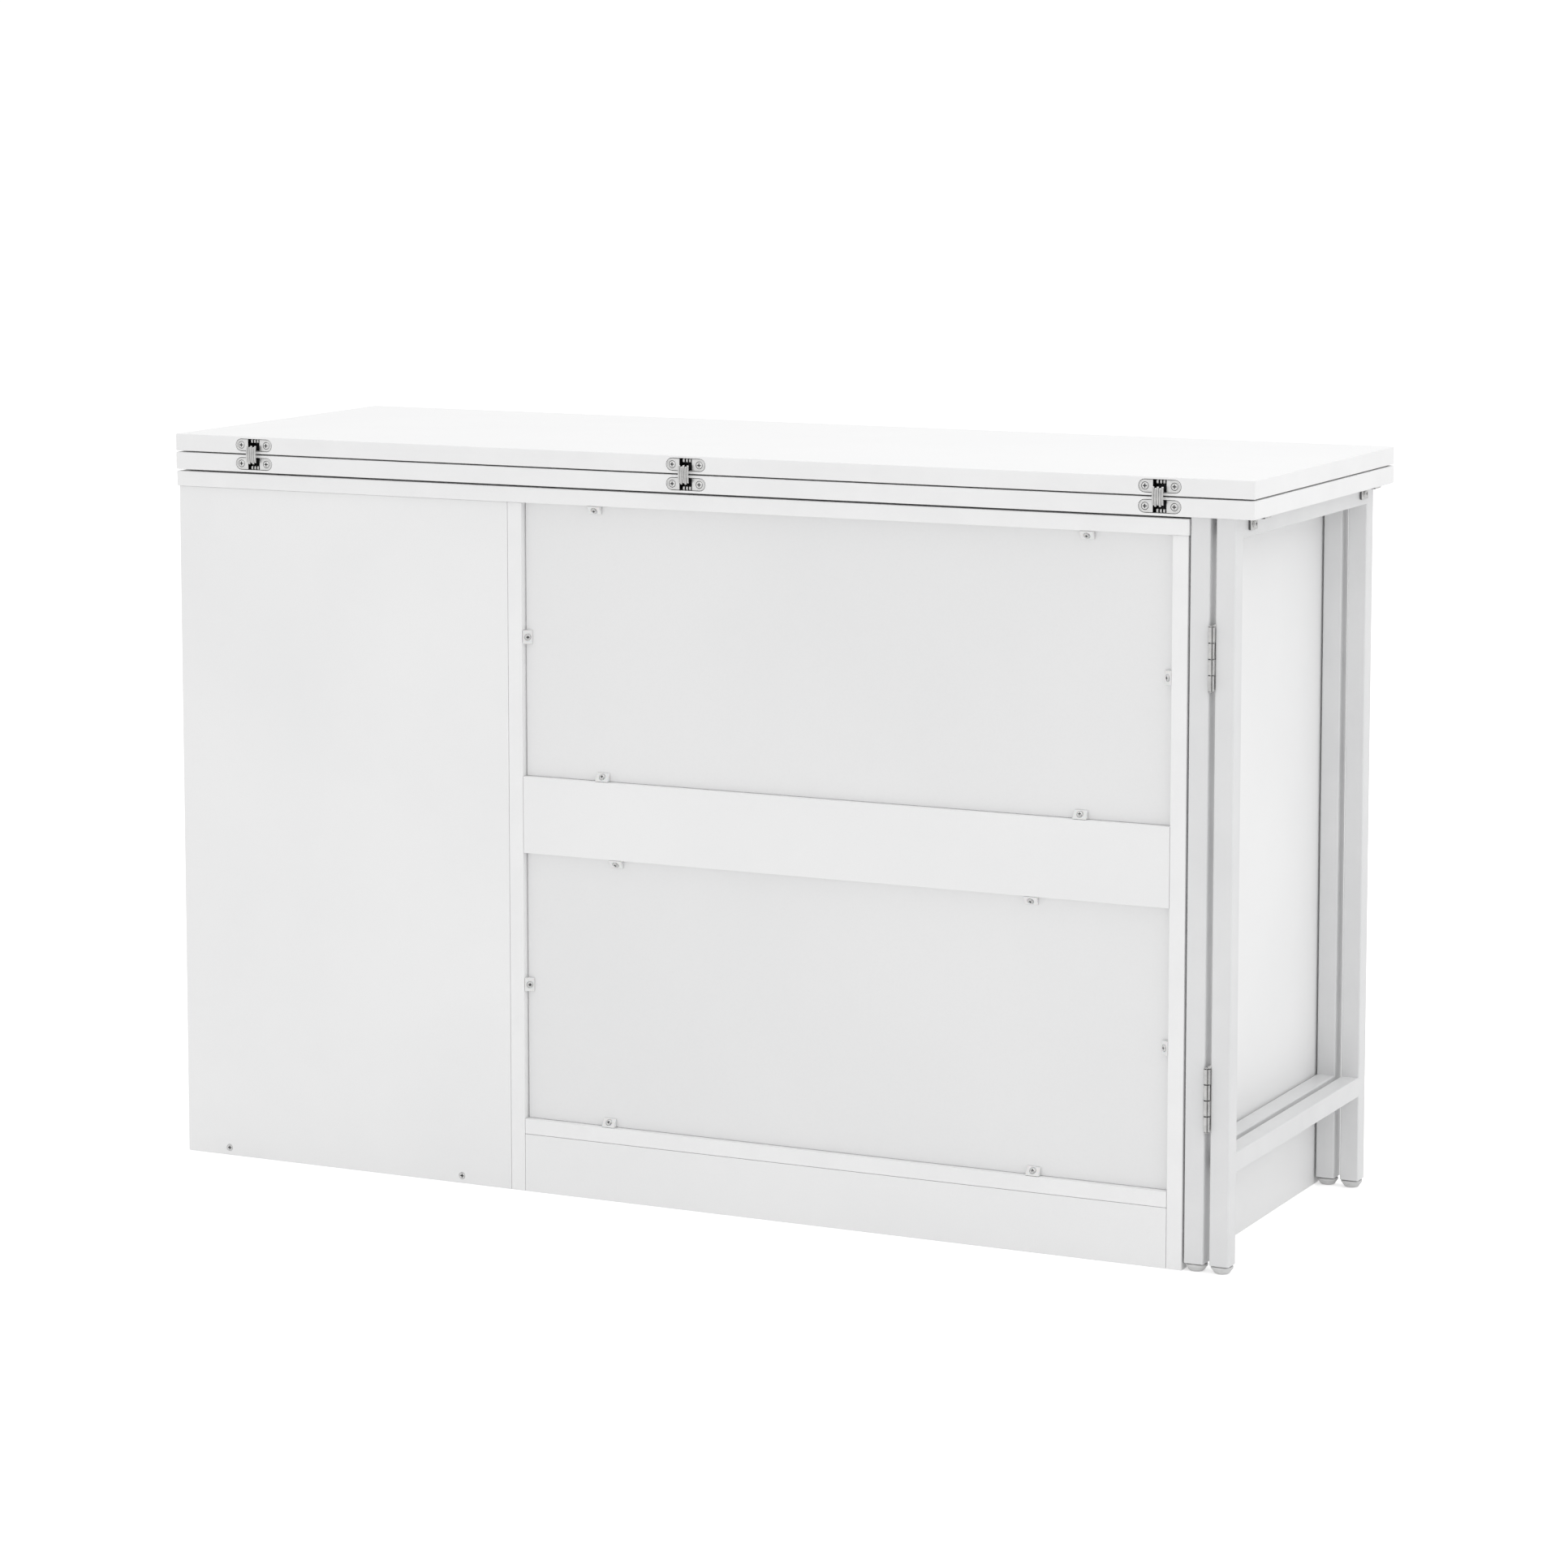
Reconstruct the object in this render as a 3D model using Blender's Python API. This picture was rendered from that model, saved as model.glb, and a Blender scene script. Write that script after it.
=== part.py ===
"""Storage cabinet with a sliding flip-top table and a gate-leg frame.

Metres, +Z up. The front faces -Y. The rear faces +Y, the open shelf end faces +X
and the leg frames stand at -X. The origin is on the floor, in the middle of the
object's box.
"""
import bpy
import bmesh
from math import cos, pi, sin
from mathutils import Vector

# ---- driving dimensions ------------------------------------------------------
TOUCH_GAP = 0.0003
CUT_PAST = 0.002

# table leaves
LEAF_LENGTH = 1.200
LEAF_DEPTH = 0.408
LEAF_THICK = 0.018
LEAF_GAP = 0.0014
SLIDE_GAP = 0.0020

# cabinet
CABINET_HEIGHT = 0.7285
CABINET_TO_FRAME = 0.0020
BOARD_THICK = 0.016
TOP_OVERHANG_REAR = 0.0025
TOP_OVERHANG_END = 0.0013
CABINET_INSET_REAR = 0.004
CABINET_INSET_FRONT = 0.004
TOWER_LENGTH = 0.3935
PLINTH_HEIGHT = 0.060
PLINTH_SETBACK_FRONT = 0.030
MID_RAIL_BOTTOM = 0.353
MID_RAIL_HEIGHT = 0.079
BACK_PANEL_THICK = 0.003
BACK_PANEL_RECESS = 0.007
BACK_PANEL_SIDE_GAP = 0.0015
TOWER_SHELF_COUNT = 2
SHELF_SETBACK_FRONT = 0.010

# back panel clips and the two screws of the tower
CLIP_LENGTH = 0.0140
CLIP_REACH = 0.0085
CLIP_RISE = 0.0060
CLIP_LIP = 0.0010
CLIP_SCREW_RADIUS = 0.0030
CLIP_SCREW_RISE = 0.0014
DOME_SHARE = 0.6
CLIP_TOP_INSETS = (0.082, 0.089)
CLIP_MID_UPPER_INSETS = (0.090, 0.094)
CLIP_MID_LOWER_INSETS = (0.105, 0.145)
CLIP_BOTTOM_INSETS = (0.096, 0.141)
CLIP_SIDE_Z = (0.575, 0.216)
TOWER_SCREW_INSETS = (0.051, 0.059)
TOWER_SCREW_RADIUS = 0.0035
TOWER_SCREW_LENGTH = 0.030
TOWER_SCREW_NECK = 0.6
TOWER_SCREW_SINK = 0.003
TOWER_SCREW_RIM = 0.0002

# glide strips and the guide that the sliding top runs on
GLIDE_STRIP_WIDTH = 0.020
GLIDE_STRIP_INSET = 0.040
SLIDE_TRAVEL = 0.600
GUIDE_WIDTH = 0.012
GUIDE_LENGTH = 0.040
GUIDE_DEPTH = 0.006
GUIDE_CLEARANCE = 0.0005
GUIDE_FIRST_INSET = 0.051
GUIDE_SPACING = 0.360

# leg frames
TUBE = 0.020
TUBE_WALL = 0.0015
FRAME_INSET_END = 0.020
FRAME_INSET_REAR = 0.004
FRAME_INSET_FRONT = 0.004
FRAME_GAP = 0.006
STRETCHER_HEIGHT = 0.097
FOOT_HEIGHT = 0.0083
FOOT_LIP = 0.0010
FOOT_CONE = 0.0033
FOOT_TOP_RADIUS = TUBE / 2 + FOOT_LIP
FOOT_BOTTOM_RADIUS = FOOT_TOP_RADIUS - FOOT_CONE
FOOT_ROUND = 0.0010
FOOT_RIM = 0.0025
FOOT_NECK = 0.0010
FOOT_PLUG_DEPTH = 0.012

# butt hinges between the frames
BUTT_HEIGHT = 0.062
BUTT_BOTTOM_Z = (0.1395, 0.5655)
BUTT_PLATE_THICK = 0.0012
BUTT_PLATE_WIDTH = 0.018
BUTT_KNUCKLES = 4
BUTT_KNUCKLE_GAP = 0.0004
BARREL_RADIUS = 0.0032
BARREL_STANDOFF = 0.0020
PIN_RADIUS = 0.0015
PIN_CLEARANCE = 0.0002
PIN_HEAD_RISE = 0.0008
PIN_HEAD_SHARE = 0.8

# brackets on the top rail of the gate
BRACKET_THICK = 0.002
BRACKET_WIDTH = 0.020
BRACKET_DROP = 0.0135
BRACKET_REACH = 0.016
BRACKET_INSET_REAR = 0.047
BRACKET_INSET_FRONT = 0.038
BRACKET_SCREW_RADIUS = 0.0042
BRACKET_SCREW_RISE = 0.0024

# link hinges in the rear edges of the leaves
LINK_HINGE_INSET = 0.096
CUP_LENGTH = 0.0435
CUP_HEIGHT = 0.0125
CUP_DEPTH = 0.0140
CUP_CLEARANCE = 0.0003
CUP_SLOT = 0.0140
CUP_SLOT_DEPTH = 0.0118
CUP_SCREW_OFFSET = 0.0150
CUP_SCREW_RADIUS = 0.0034
CUP_SCREW_RISE = 0.0004
CUP_SCREW_SINK = 0.001
LINK_WIDTH = 0.0116
LINK_HALF_LENGTH = 0.0095
LINK_THICK = 0.0019
LINK_TAPER = 0.45
LINK_STANDOFF = 0.0038
FLIP_OFFSET = 0.0005

# ---- places that follow from them --------------------------------------------
LINK_OUTER = FLIP_OFFSET + LINK_STANDOFF + LINK_THICK
REAR_Y = (LEAF_DEPTH + LINK_OUTER) / 2 - LINK_OUTER
FRONT_Y = REAR_Y - LEAF_DEPTH
END_X = LEAF_LENGTH / 2
LOWER_LEAF_Z = CABINET_HEIGHT + SLIDE_GAP
UPPER_LEAF_Z = LOWER_LEAF_Z + LEAF_THICK + LEAF_GAP
FLIP_Y = REAR_Y + FLIP_OFFSET
FLIP_Z = UPPER_LEAF_Z - LEAF_GAP / 2

FRAME_REAR = REAR_Y - FRAME_INSET_REAR
FRAME_FRONT = FRONT_Y + FRAME_INSET_FRONT
FRAME_TOP = LOWER_LEAF_Z - TOUCH_GAP
GATE_X = -END_X + FRAME_INSET_END
FIXED_X = GATE_X + TUBE + FRAME_GAP
SWING_X = FIXED_X - FRAME_GAP / 2
SWING_Y = FRAME_REAR + BARREL_STANDOFF

CARCASS_REAR = REAR_Y - CABINET_INSET_REAR
CARCASS_FRONT = FRONT_Y + CABINET_INSET_FRONT
CARCASS_TOP = CABINET_HEIGHT - BOARD_THICK
TOWER_END = END_X - TOP_OVERHANG_END
CABINET_END = FIXED_X + TUBE + CABINET_TO_FRAME
DIVIDER_X = TOWER_END - TOWER_LENGTH - BOARD_THICK
BAY_X0 = CABINET_END + BOARD_THICK
BAY_X1 = DIVIDER_X
PANEL_REAR = CARCASS_REAR - BACK_PANEL_RECESS
PANEL_FRONT = PANEL_REAR - BACK_PANEL_THICK
RAIL_FRONT = CARCASS_REAR - BOARD_THICK
BOTTOM_SHELF_TOP = PLINTH_HEIGHT + BOARD_THICK
MID_RAIL_TOP = MID_RAIL_BOTTOM + MID_RAIL_HEIGHT
MID_SHELF_Z = MID_RAIL_BOTTOM + (MID_RAIL_HEIGHT - BOARD_THICK) / 2
GUIDE_X = (CABINET_END + GUIDE_FIRST_INSET, CABINET_END + GUIDE_FIRST_INSET + GUIDE_SPACING)
LINK_HINGE_X = (END_X - LINK_HINGE_INSET, 0.0, -END_X + LINK_HINGE_INSET)


# ---- modelling helpers -------------------------------------------------------
def clear_scene():
    for old in list(bpy.data.objects):
        bpy.data.objects.remove(old, do_unlink=True)


def finish(name, colour, roughness, metallic=0.0):
    shade = bpy.data.materials.new(name)
    shade.use_nodes = True
    shader = shade.node_tree.nodes["Principled BSDF"]
    shader.inputs["Base Color"].default_value = (*colour, 1.0)
    shader.inputs["Roughness"].default_value = roughness
    shader.inputs["Metallic"].default_value = metallic
    return shade


def keep(name, shell, material=None, origin=None):
    """Turn a bmesh into a named object, with its origin on a joint axis if given."""
    bmesh.ops.recalc_face_normals(shell, faces=shell.faces)
    if origin is not None:
        bmesh.ops.translate(shell, verts=shell.verts, vec=-Vector(origin))
    mesh = bpy.data.meshes.new(name)
    shell.to_mesh(mesh)
    shell.free()
    piece = bpy.data.objects.new(name, mesh)
    bpy.context.scene.collection.objects.link(piece)
    if origin is not None:
        piece.location = origin
    if material is None:
        piece.hide_render = True
        piece.display_type = "WIRE"
    else:
        mesh.materials.append(material)
    return piece


def add_box(shell, low, high):
    corners = [(x, y, z) for x in (low[0], high[0]) for y in (low[1], high[1]) for z in (low[2], high[2])]
    verts = [shell.verts.new(corner) for corner in corners]
    for a, b, c, d in ((0, 1, 3, 2), (4, 6, 7, 5), (0, 4, 5, 1), (2, 3, 7, 6), (0, 2, 6, 4), (1, 5, 7, 3)):
        shell.faces.new((verts[a], verts[b], verts[c], verts[d]))


def board(name, low, high, material, origin=None):
    shell = bmesh.new()
    add_box(shell, low, high)
    return keep(name, shell, material, origin)


def add_prism(shell, outline, place, start, end):
    """A closed outline of (a, b) points, carried from start to end along the third axis."""
    rings = [[shell.verts.new(place(a, b, along)) for a, b in outline] for along in (start, end)]
    count = len(outline)
    for k in range(count):
        n = (k + 1) % count
        shell.faces.new((rings[0][k], rings[0][n], rings[1][n], rings[1][k]))
    shell.faces.new(list(reversed(rings[0])))
    shell.faces.new(rings[1])


def along_x(a, b, along):
    return (along, a, b)


def along_y(a, b, along):
    return (a, along, b)


def along_z(a, b, along):
    return (a, b, along)


def circle(radius, centre=(0.0, 0.0), steps=20):
    return [(centre[0] + radius * cos(2 * pi * k / steps), centre[1] + radius * sin(2 * pi * k / steps))
            for k in range(steps)]


def stadium(length, height, centre, steps=8):
    radius = height / 2
    reach = length / 2 - radius
    points = []
    for side in (1, -1):
        for k in range(steps + 1):
            angle = side * pi / 2 - pi * k / steps
            points.append((centre[0] + side * reach + radius * cos(angle), centre[1] + radius * sin(angle)))
    return points


def cut(piece, cutter):
    trim = piece.modifiers.new(cutter.name, "BOOLEAN")
    trim.operation = "DIFFERENCE"
    trim.solver = "EXACT"
    trim.object = cutter


def fuse(piece, addition):
    join = piece.modifiers.new(addition.name, "BOOLEAN")
    join.operation = "UNION"
    join.solver = "EXACT"
    join.object = addition


def attach(piece, parent):
    piece.parent = parent
    piece.matrix_parent_inverse = parent.matrix_world.inverted()


def add_turned(shell, profile, centre, place, steps=20):
    """A solid turned about an axis, from (radius, distance along the axis) points."""
    rings = []
    for radius, along in profile:
        rings.append([shell.verts.new(place(a, b, along)) for a, b in circle(radius, centre, steps)])
    for first, second in zip(rings, rings[1:]):
        for k in range(steps):
            n = (k + 1) % steps
            shell.faces.new((first[k], first[n], second[n], second[k]))
    shell.faces.new(list(reversed(rings[0])))
    shell.faces.new(rings[-1])


clear_scene()
WHITE_BOARD = finish("white_melamine", (0.86, 0.86, 0.86), 0.45)
BACK_BOARD = finish("white_hardboard", (0.80, 0.80, 0.80), 0.50)
WHITE_PLASTIC = finish("white_plastic", (0.82, 0.82, 0.82), 0.40)
WHITE_PAINT = finish("white_powder_coat", (0.80, 0.80, 0.80), 0.38)
NICKEL = finish("bright_nickel", (0.66, 0.66, 0.65), 0.25, 1.0)
DARK_STEEL = finish("zinc_screw", (0.30, 0.30, 0.31), 0.35, 1.0)


# ---- cabinet -----------------------------------------------------------------
def make_carcass():
    g = TOUCH_GAP
    top_end_low = CABINET_END - TOP_OVERHANG_END
    board("cabinet_top", (top_end_low, CARCASS_FRONT, CARCASS_TOP + g),
          (END_X, CARCASS_REAR + TOP_OVERHANG_REAR, CABINET_HEIGHT), WHITE_BOARD)
    board("end_panel", (CABINET_END, CARCASS_FRONT, 0), (BAY_X0, CARCASS_REAR, CARCASS_TOP), WHITE_BOARD)
    board("divider_panel", (DIVIDER_X, CARCASS_FRONT, 0),
          (DIVIDER_X + BOARD_THICK, CARCASS_REAR, CARCASS_TOP), WHITE_BOARD)

    tower_low = DIVIDER_X + BOARD_THICK + g
    board("tower_rear_panel", (tower_low, CARCASS_REAR - BOARD_THICK, 0),
          (TOWER_END, CARCASS_REAR, CARCASS_TOP), WHITE_BOARD)
    board("tower_front_panel", (tower_low, CARCASS_FRONT, 0),
          (TOWER_END, CARCASS_FRONT + BOARD_THICK, CARCASS_TOP), WHITE_BOARD)
    inner_front = CARCASS_FRONT + BOARD_THICK + g
    inner_rear = CARCASS_REAR - BOARD_THICK - g
    board("tower_bottom_board", (tower_low, inner_front, 0),
          (TOWER_END, inner_rear, BOARD_THICK), WHITE_BOARD)
    clear_height = (CARCASS_TOP - BOARD_THICK * (1 + TOWER_SHELF_COUNT)) / (TOWER_SHELF_COUNT + 1)
    for k, name in enumerate(("tower_shelf_lower", "tower_shelf_upper")):
        low = BOARD_THICK + clear_height + k * (clear_height + BOARD_THICK)
        board(name, (tower_low, inner_front, low), (TOWER_END, inner_rear, low + BOARD_THICK), WHITE_BOARD)

    bay_low = BAY_X0 + g
    bay_high = BAY_X1 - g
    board("bottom_shelf", (bay_low, CARCASS_FRONT, PLINTH_HEIGHT + g),
          (bay_high, CARCASS_REAR, BOTTOM_SHELF_TOP), WHITE_BOARD)
    board("middle_shelf", (bay_low, CARCASS_FRONT + SHELF_SETBACK_FRONT, MID_SHELF_Z),
          (bay_high, RAIL_FRONT - g, MID_SHELF_Z + BOARD_THICK), WHITE_BOARD)
    plinth_front = CARCASS_FRONT + PLINTH_SETBACK_FRONT
    board("front_plinth", (bay_low, plinth_front, 0),
          (bay_high, plinth_front + BOARD_THICK, PLINTH_HEIGHT), WHITE_BOARD)
    board("rear_plinth", (bay_low, RAIL_FRONT, 0), (bay_high, CARCASS_REAR, PLINTH_HEIGHT), WHITE_BOARD)
    board("rear_mid_rail", (bay_low, RAIL_FRONT, MID_RAIL_BOTTOM),
          (bay_high, CARCASS_REAR, MID_RAIL_TOP), WHITE_BOARD)
    side = BACK_PANEL_SIDE_GAP
    board("upper_back_panel", (BAY_X0 + side, PANEL_FRONT, MID_RAIL_TOP + g),
          (BAY_X1 - side, PANEL_REAR, CARCASS_TOP), BACK_BOARD)
    board("lower_back_panel", (BAY_X0 + side, PANEL_FRONT, BOTTOM_SHELF_TOP + g),
          (BAY_X1 - side, PANEL_REAR, MID_RAIL_BOTTOM - g), BACK_BOARD)


def make_clip(name, x, z, inward):
    """A plastic wedge in the corner between a board and the back panel, and its screw head.

    inward is the (x, z) direction from the board into the opening.
    """
    into = Vector((inward[0], 0, inward[1]))
    edge = Vector((-inward[1], 0, inward[0]))
    rear = Vector((0, 1, 0))
    corner = Vector((x, PANEL_REAR + TOUCH_GAP, z)) + into * TOUCH_GAP

    def in_corner(reach, rise, along):
        return corner + into * reach + rear * rise + edge * along

    wedge = bmesh.new()
    outline = [(0, 0), (CLIP_REACH, 0), (CLIP_REACH, CLIP_LIP), (CLIP_LIP, CLIP_RISE), (0, CLIP_RISE)]
    add_prism(wedge, outline, in_corner, -CLIP_LENGTH / 2, CLIP_LENGTH / 2)
    clip = keep(name, wedge, WHITE_PLASTIC)

    slope = (rear * (CLIP_REACH - CLIP_LIP) + into * (CLIP_RISE - CLIP_LIP)).normalized()
    across = slope.cross(edge)
    seat = in_corner((CLIP_REACH + CLIP_LIP) / 2, (CLIP_RISE + CLIP_LIP) / 2, 0)

    def on_slope(a, b, along):
        return seat + edge * a + across * b + slope * along

    head = bmesh.new()
    profile = [(CLIP_SCREW_RADIUS, -CLIP_SCREW_RISE), (CLIP_SCREW_RADIUS, CLIP_SCREW_RISE / 2),
               (CLIP_SCREW_RADIUS * DOME_SHARE, CLIP_SCREW_RISE)]
    add_turned(head, profile, (0, 0), on_slope, 12)
    fuse(clip, keep(name + "_head", head))


def make_clips():
    rows = (("top", CLIP_TOP_INSETS, CARCASS_TOP, (0, -1)),
            ("mid_upper", CLIP_MID_UPPER_INSETS, MID_RAIL_TOP, (0, 1)),
            ("mid_lower", CLIP_MID_LOWER_INSETS, MID_RAIL_BOTTOM, (0, -1)),
            ("bottom", CLIP_BOTTOM_INSETS, BOTTOM_SHELF_TOP, (0, 1)))
    for row, (from_divider, from_end), z, inward in rows:
        make_clip(f"clip_{row}_1", BAY_X1 - from_divider, z, inward)
        make_clip(f"clip_{row}_2", BAY_X0 + from_end, z, inward)
    for k, z in enumerate(CLIP_SIDE_Z):
        make_clip(f"clip_divider_{k + 1}", BAY_X1, z, (-1, 0))
        make_clip(f"clip_end_{k + 1}", BAY_X0, z, (1, 0))


def tower_screw(name, x, grow, past, material):
    """A countersunk screw along Y, or its clearance hole where grow is more than 0."""
    shank = TOWER_SCREW_RADIUS * TOWER_SCREW_NECK + grow
    head = TOWER_SCREW_RADIUS + grow
    face = CARCASS_REAR - TOUCH_GAP
    tip = CARCASS_REAR - TOWER_SCREW_LENGTH - grow
    neck = CARCASS_REAR - TOWER_SCREW_SINK - grow
    profile = [(shank, tip), (shank, neck), (head, face), (head, face + TOWER_SCREW_RIM + past)]
    shell = bmesh.new()
    add_turned(shell, profile, (x, BOARD_THICK / 2), along_y, 14)
    return keep(name, shell, material)


def make_tower_screws():
    """Two screws through the tower's rear board into its bottom board."""
    places = (TOWER_END - TOWER_SCREW_INSETS[0], DIVIDER_X + BOARD_THICK + TOWER_SCREW_INSETS[1])
    for k, x in enumerate(places):
        tower_screw(f"tower_screw_{k + 1}", x, 0, 0, DARK_STEEL)
        hole = tower_screw(f"tower_screw_hole_{k + 1}", x, TOUCH_GAP, CUT_PAST, None)
        cut(bpy.data.objects["tower_rear_panel"], hole)
        cut(bpy.data.objects["tower_bottom_board"], hole)


def make_slide_guides():
    """Low-friction strips under the leaf's ends and two blocks that keep it straight."""
    low = CABINET_END + GLIDE_STRIP_INSET
    for name, centre in (("glide_strip_front", CARCASS_FRONT + GLIDE_STRIP_INSET),
                         ("glide_strip_rear", CARCASS_REAR - GLIDE_STRIP_INSET)):
        half = GLIDE_STRIP_WIDTH / 2
        board(name, (low, centre - half, CABINET_HEIGHT + TOUCH_GAP),
              (TOWER_END - GLIDE_STRIP_INSET, centre + half, LOWER_LEAF_Z - TOUCH_GAP), WHITE_PLASTIC)
    middle = (CARCASS_FRONT + CARCASS_REAR) / 2
    for k, x in enumerate(GUIDE_X):
        board(f"guide_block_{k + 1}",
              (x - GUIDE_LENGTH / 2, middle - GUIDE_WIDTH / 2, CABINET_HEIGHT + TOUCH_GAP),
              (x + GUIDE_LENGTH / 2, middle + GUIDE_WIDTH / 2, LOWER_LEAF_Z + GUIDE_DEPTH), WHITE_PLASTIC)


# ---- leaves and their link hinges --------------------------------------------
def cup_centre_z(side):
    return FLIP_Z + side * (LEAF_GAP / 2 + LEAF_THICK / 2)


def make_cup(name, leaf, x, side, parent):
    """The stadium body of a link hinge, let into the rear edge of a leaf."""
    centre = (x, cup_centre_z(side))
    shell = bmesh.new()
    add_prism(shell, stadium(CUP_LENGTH, CUP_HEIGHT, centre), along_y, REAR_Y - CUP_DEPTH, REAR_Y)
    cup = keep(name, shell, NICKEL)
    slot = bmesh.new()
    add_box(slot, (x - CUP_SLOT / 2, REAR_Y - CUP_SLOT_DEPTH, centre[1] - CUP_HEIGHT / 2 - CUT_PAST),
            (x + CUP_SLOT / 2, REAR_Y + CUT_PAST, centre[1] + CUP_HEIGHT / 2 + CUT_PAST))
    cut(cup, keep(name + "_slot", slot))
    for k in (-1, 1):
        head = bmesh.new()
        profile = [(CUP_SCREW_RADIUS, REAR_Y - CUP_SCREW_SINK), (CUP_SCREW_RADIUS, REAR_Y),
                   (CUP_SCREW_RADIUS * DOME_SHARE, REAR_Y + CUP_SCREW_RISE)]
        add_turned(head, profile, (x + k * CUP_SCREW_OFFSET, centre[1]), along_y, 12)
        fuse(cup, keep(f"{name}_screw_{k + 2}", head))
    mortise = bmesh.new()
    room = 2 * CUP_CLEARANCE
    add_prism(mortise, stadium(CUP_LENGTH + room, CUP_HEIGHT + room, centre), along_y,
              REAR_Y - CUP_DEPTH - CUP_CLEARANCE, REAR_Y + CUT_PAST)
    cut(leaf, keep(name + "_mortise", mortise))
    attach(cup, parent)


def make_leaves(table, flip):
    lower = board("lower_leaf", (-END_X, FRONT_Y, LOWER_LEAF_Z),
                  (END_X, REAR_Y, LOWER_LEAF_Z + LEAF_THICK), WHITE_BOARD)
    upper = board("upper_leaf", (-END_X, FRONT_Y, UPPER_LEAF_Z),
                  (END_X, REAR_Y, UPPER_LEAF_Z + LEAF_THICK), WHITE_BOARD, (0, FLIP_Y, FLIP_Z))
    attach(lower, table)
    attach(upper, flip)

    middle = (CARCASS_FRONT + CARCASS_REAR) / 2
    half = GUIDE_WIDTH / 2 + GUIDE_CLEARANCE
    end_room = GUIDE_LENGTH / 2 + GUIDE_CLEARANCE
    groove = bmesh.new()
    add_box(groove, (min(GUIDE_X) - end_room, middle - half, LOWER_LEAF_Z - CUT_PAST),
            (max(GUIDE_X) + SLIDE_TRAVEL + end_room, middle + half,
             LOWER_LEAF_Z + GUIDE_DEPTH + GUIDE_CLEARANCE))
    cut(lower, keep("guide_groove", groove))

    for place, x in zip(("tower", "middle", "leg"), LINK_HINGE_X):
        make_cup(f"lower_hinge_cup_{place}", lower, x, -1, table)
        make_cup(f"upper_hinge_cup_{place}", upper, x, 1, flip)


def make_links(fold):
    """Bowed links that bridge the two cups and turn by half of the leaf's angle."""
    inner = LINK_STANDOFF
    outer = LINK_STANDOFF + LINK_THICK
    taper = LINK_THICK * LINK_TAPER
    tip = LINK_HALF_LENGTH
    root = LINK_HALF_LENGTH * DOME_SHARE
    outline = [(inner, -tip), (outer - taper, -tip), (outer, -root), (outer, root),
               (outer - taper, tip), (inner, tip)]
    outline = [(FLIP_Y + y, FLIP_Z + z) for y, z in outline]
    for place, x in zip(("tower", "middle", "leg"), LINK_HINGE_X):
        shell = bmesh.new()
        add_prism(shell, outline, along_x, x - LINK_WIDTH / 2, x + LINK_WIDTH / 2)
        attach(keep(f"hinge_link_{place}", shell, NICKEL, (x, FLIP_Y, FLIP_Z)), fold)


# ---- leg frames --------------------------------------------------------------
def add_frame_tubes(shell, x0, x1, inset, foot_z):
    """Two legs, a top rail and a stretcher as one outline with a window."""
    y0, y1 = FRAME_FRONT + inset, FRAME_REAR - inset
    top = FRAME_TOP - inset
    wide = TUBE - 2 * inset
    low_rail = STRETCHER_HEIGHT + inset
    ys = (y0, y0 + wide, y1 - wide, y1)
    zs = (foot_z, low_rail, low_rail + wide, top - wide, top)
    filled = {(0, 0), (2, 0), (0, 1), (1, 1), (2, 1), (0, 2), (2, 2), (0, 3), (1, 3), (2, 3)}
    grid = {(side, i, j): shell.verts.new((x, ys[i], zs[j]))
            for side, x in enumerate((x0, x1)) for i in range(4) for j in range(5)}
    for i, j in sorted(filled):
        for side in (0, 1):
            ring = ((i, j), (i + 1, j), (i + 1, j + 1), (i, j + 1))
            shell.faces.new([grid[side, *place] for place in ring])
        borders = (((i, j), (i + 1, j), (i, j - 1)), ((i + 1, j), (i + 1, j + 1), (i + 1, j)),
                   ((i + 1, j + 1), (i, j + 1), (i, j + 1)), ((i, j + 1), (i, j), (i - 1, j)))
        for a, b, neighbour in borders:
            if neighbour not in filled:
                shell.faces.new([grid[0, *a], grid[0, *b], grid[1, *b], grid[1, *a]])
    loose = [vert for vert in shell.verts if not vert.link_faces]
    bmesh.ops.delete(shell, geom=loose, context="VERTS")


def make_frame(name, x, parent, origin):
    shell = bmesh.new()
    add_frame_tubes(shell, x, x + TUBE, 0.0, FOOT_HEIGHT)
    frame = keep(name, shell, WHITE_PAINT, origin)
    hollow = bmesh.new()
    add_frame_tubes(hollow, x + TUBE_WALL, x + TUBE - TUBE_WALL, TUBE_WALL, FOOT_HEIGHT - CUT_PAST)
    cut(frame, keep(name + "_hollow", hollow))
    attach(frame, parent)
    for place, y in (("rear", FRAME_REAR - TUBE / 2), ("front", FRAME_FRONT + TUBE / 2)):
        foot = bmesh.new()
        plug = TUBE / 2 - TUBE_WALL - TOUCH_GAP
        rim = FOOT_HEIGHT - FOOT_NECK
        profile = [(FOOT_BOTTOM_RADIUS - FOOT_ROUND, 0.0), (FOOT_BOTTOM_RADIUS, FOOT_ROUND),
                   (FOOT_TOP_RADIUS, rim - FOOT_RIM), (FOOT_TOP_RADIUS, rim), (plug, rim),
                   (plug, rim + FOOT_PLUG_DEPTH)]
        add_turned(foot, profile, (x + TUBE / 2, y), along_z, 20)
        attach(keep(f"{name}_foot_{place}", foot, WHITE_PLASTIC), parent)


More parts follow.
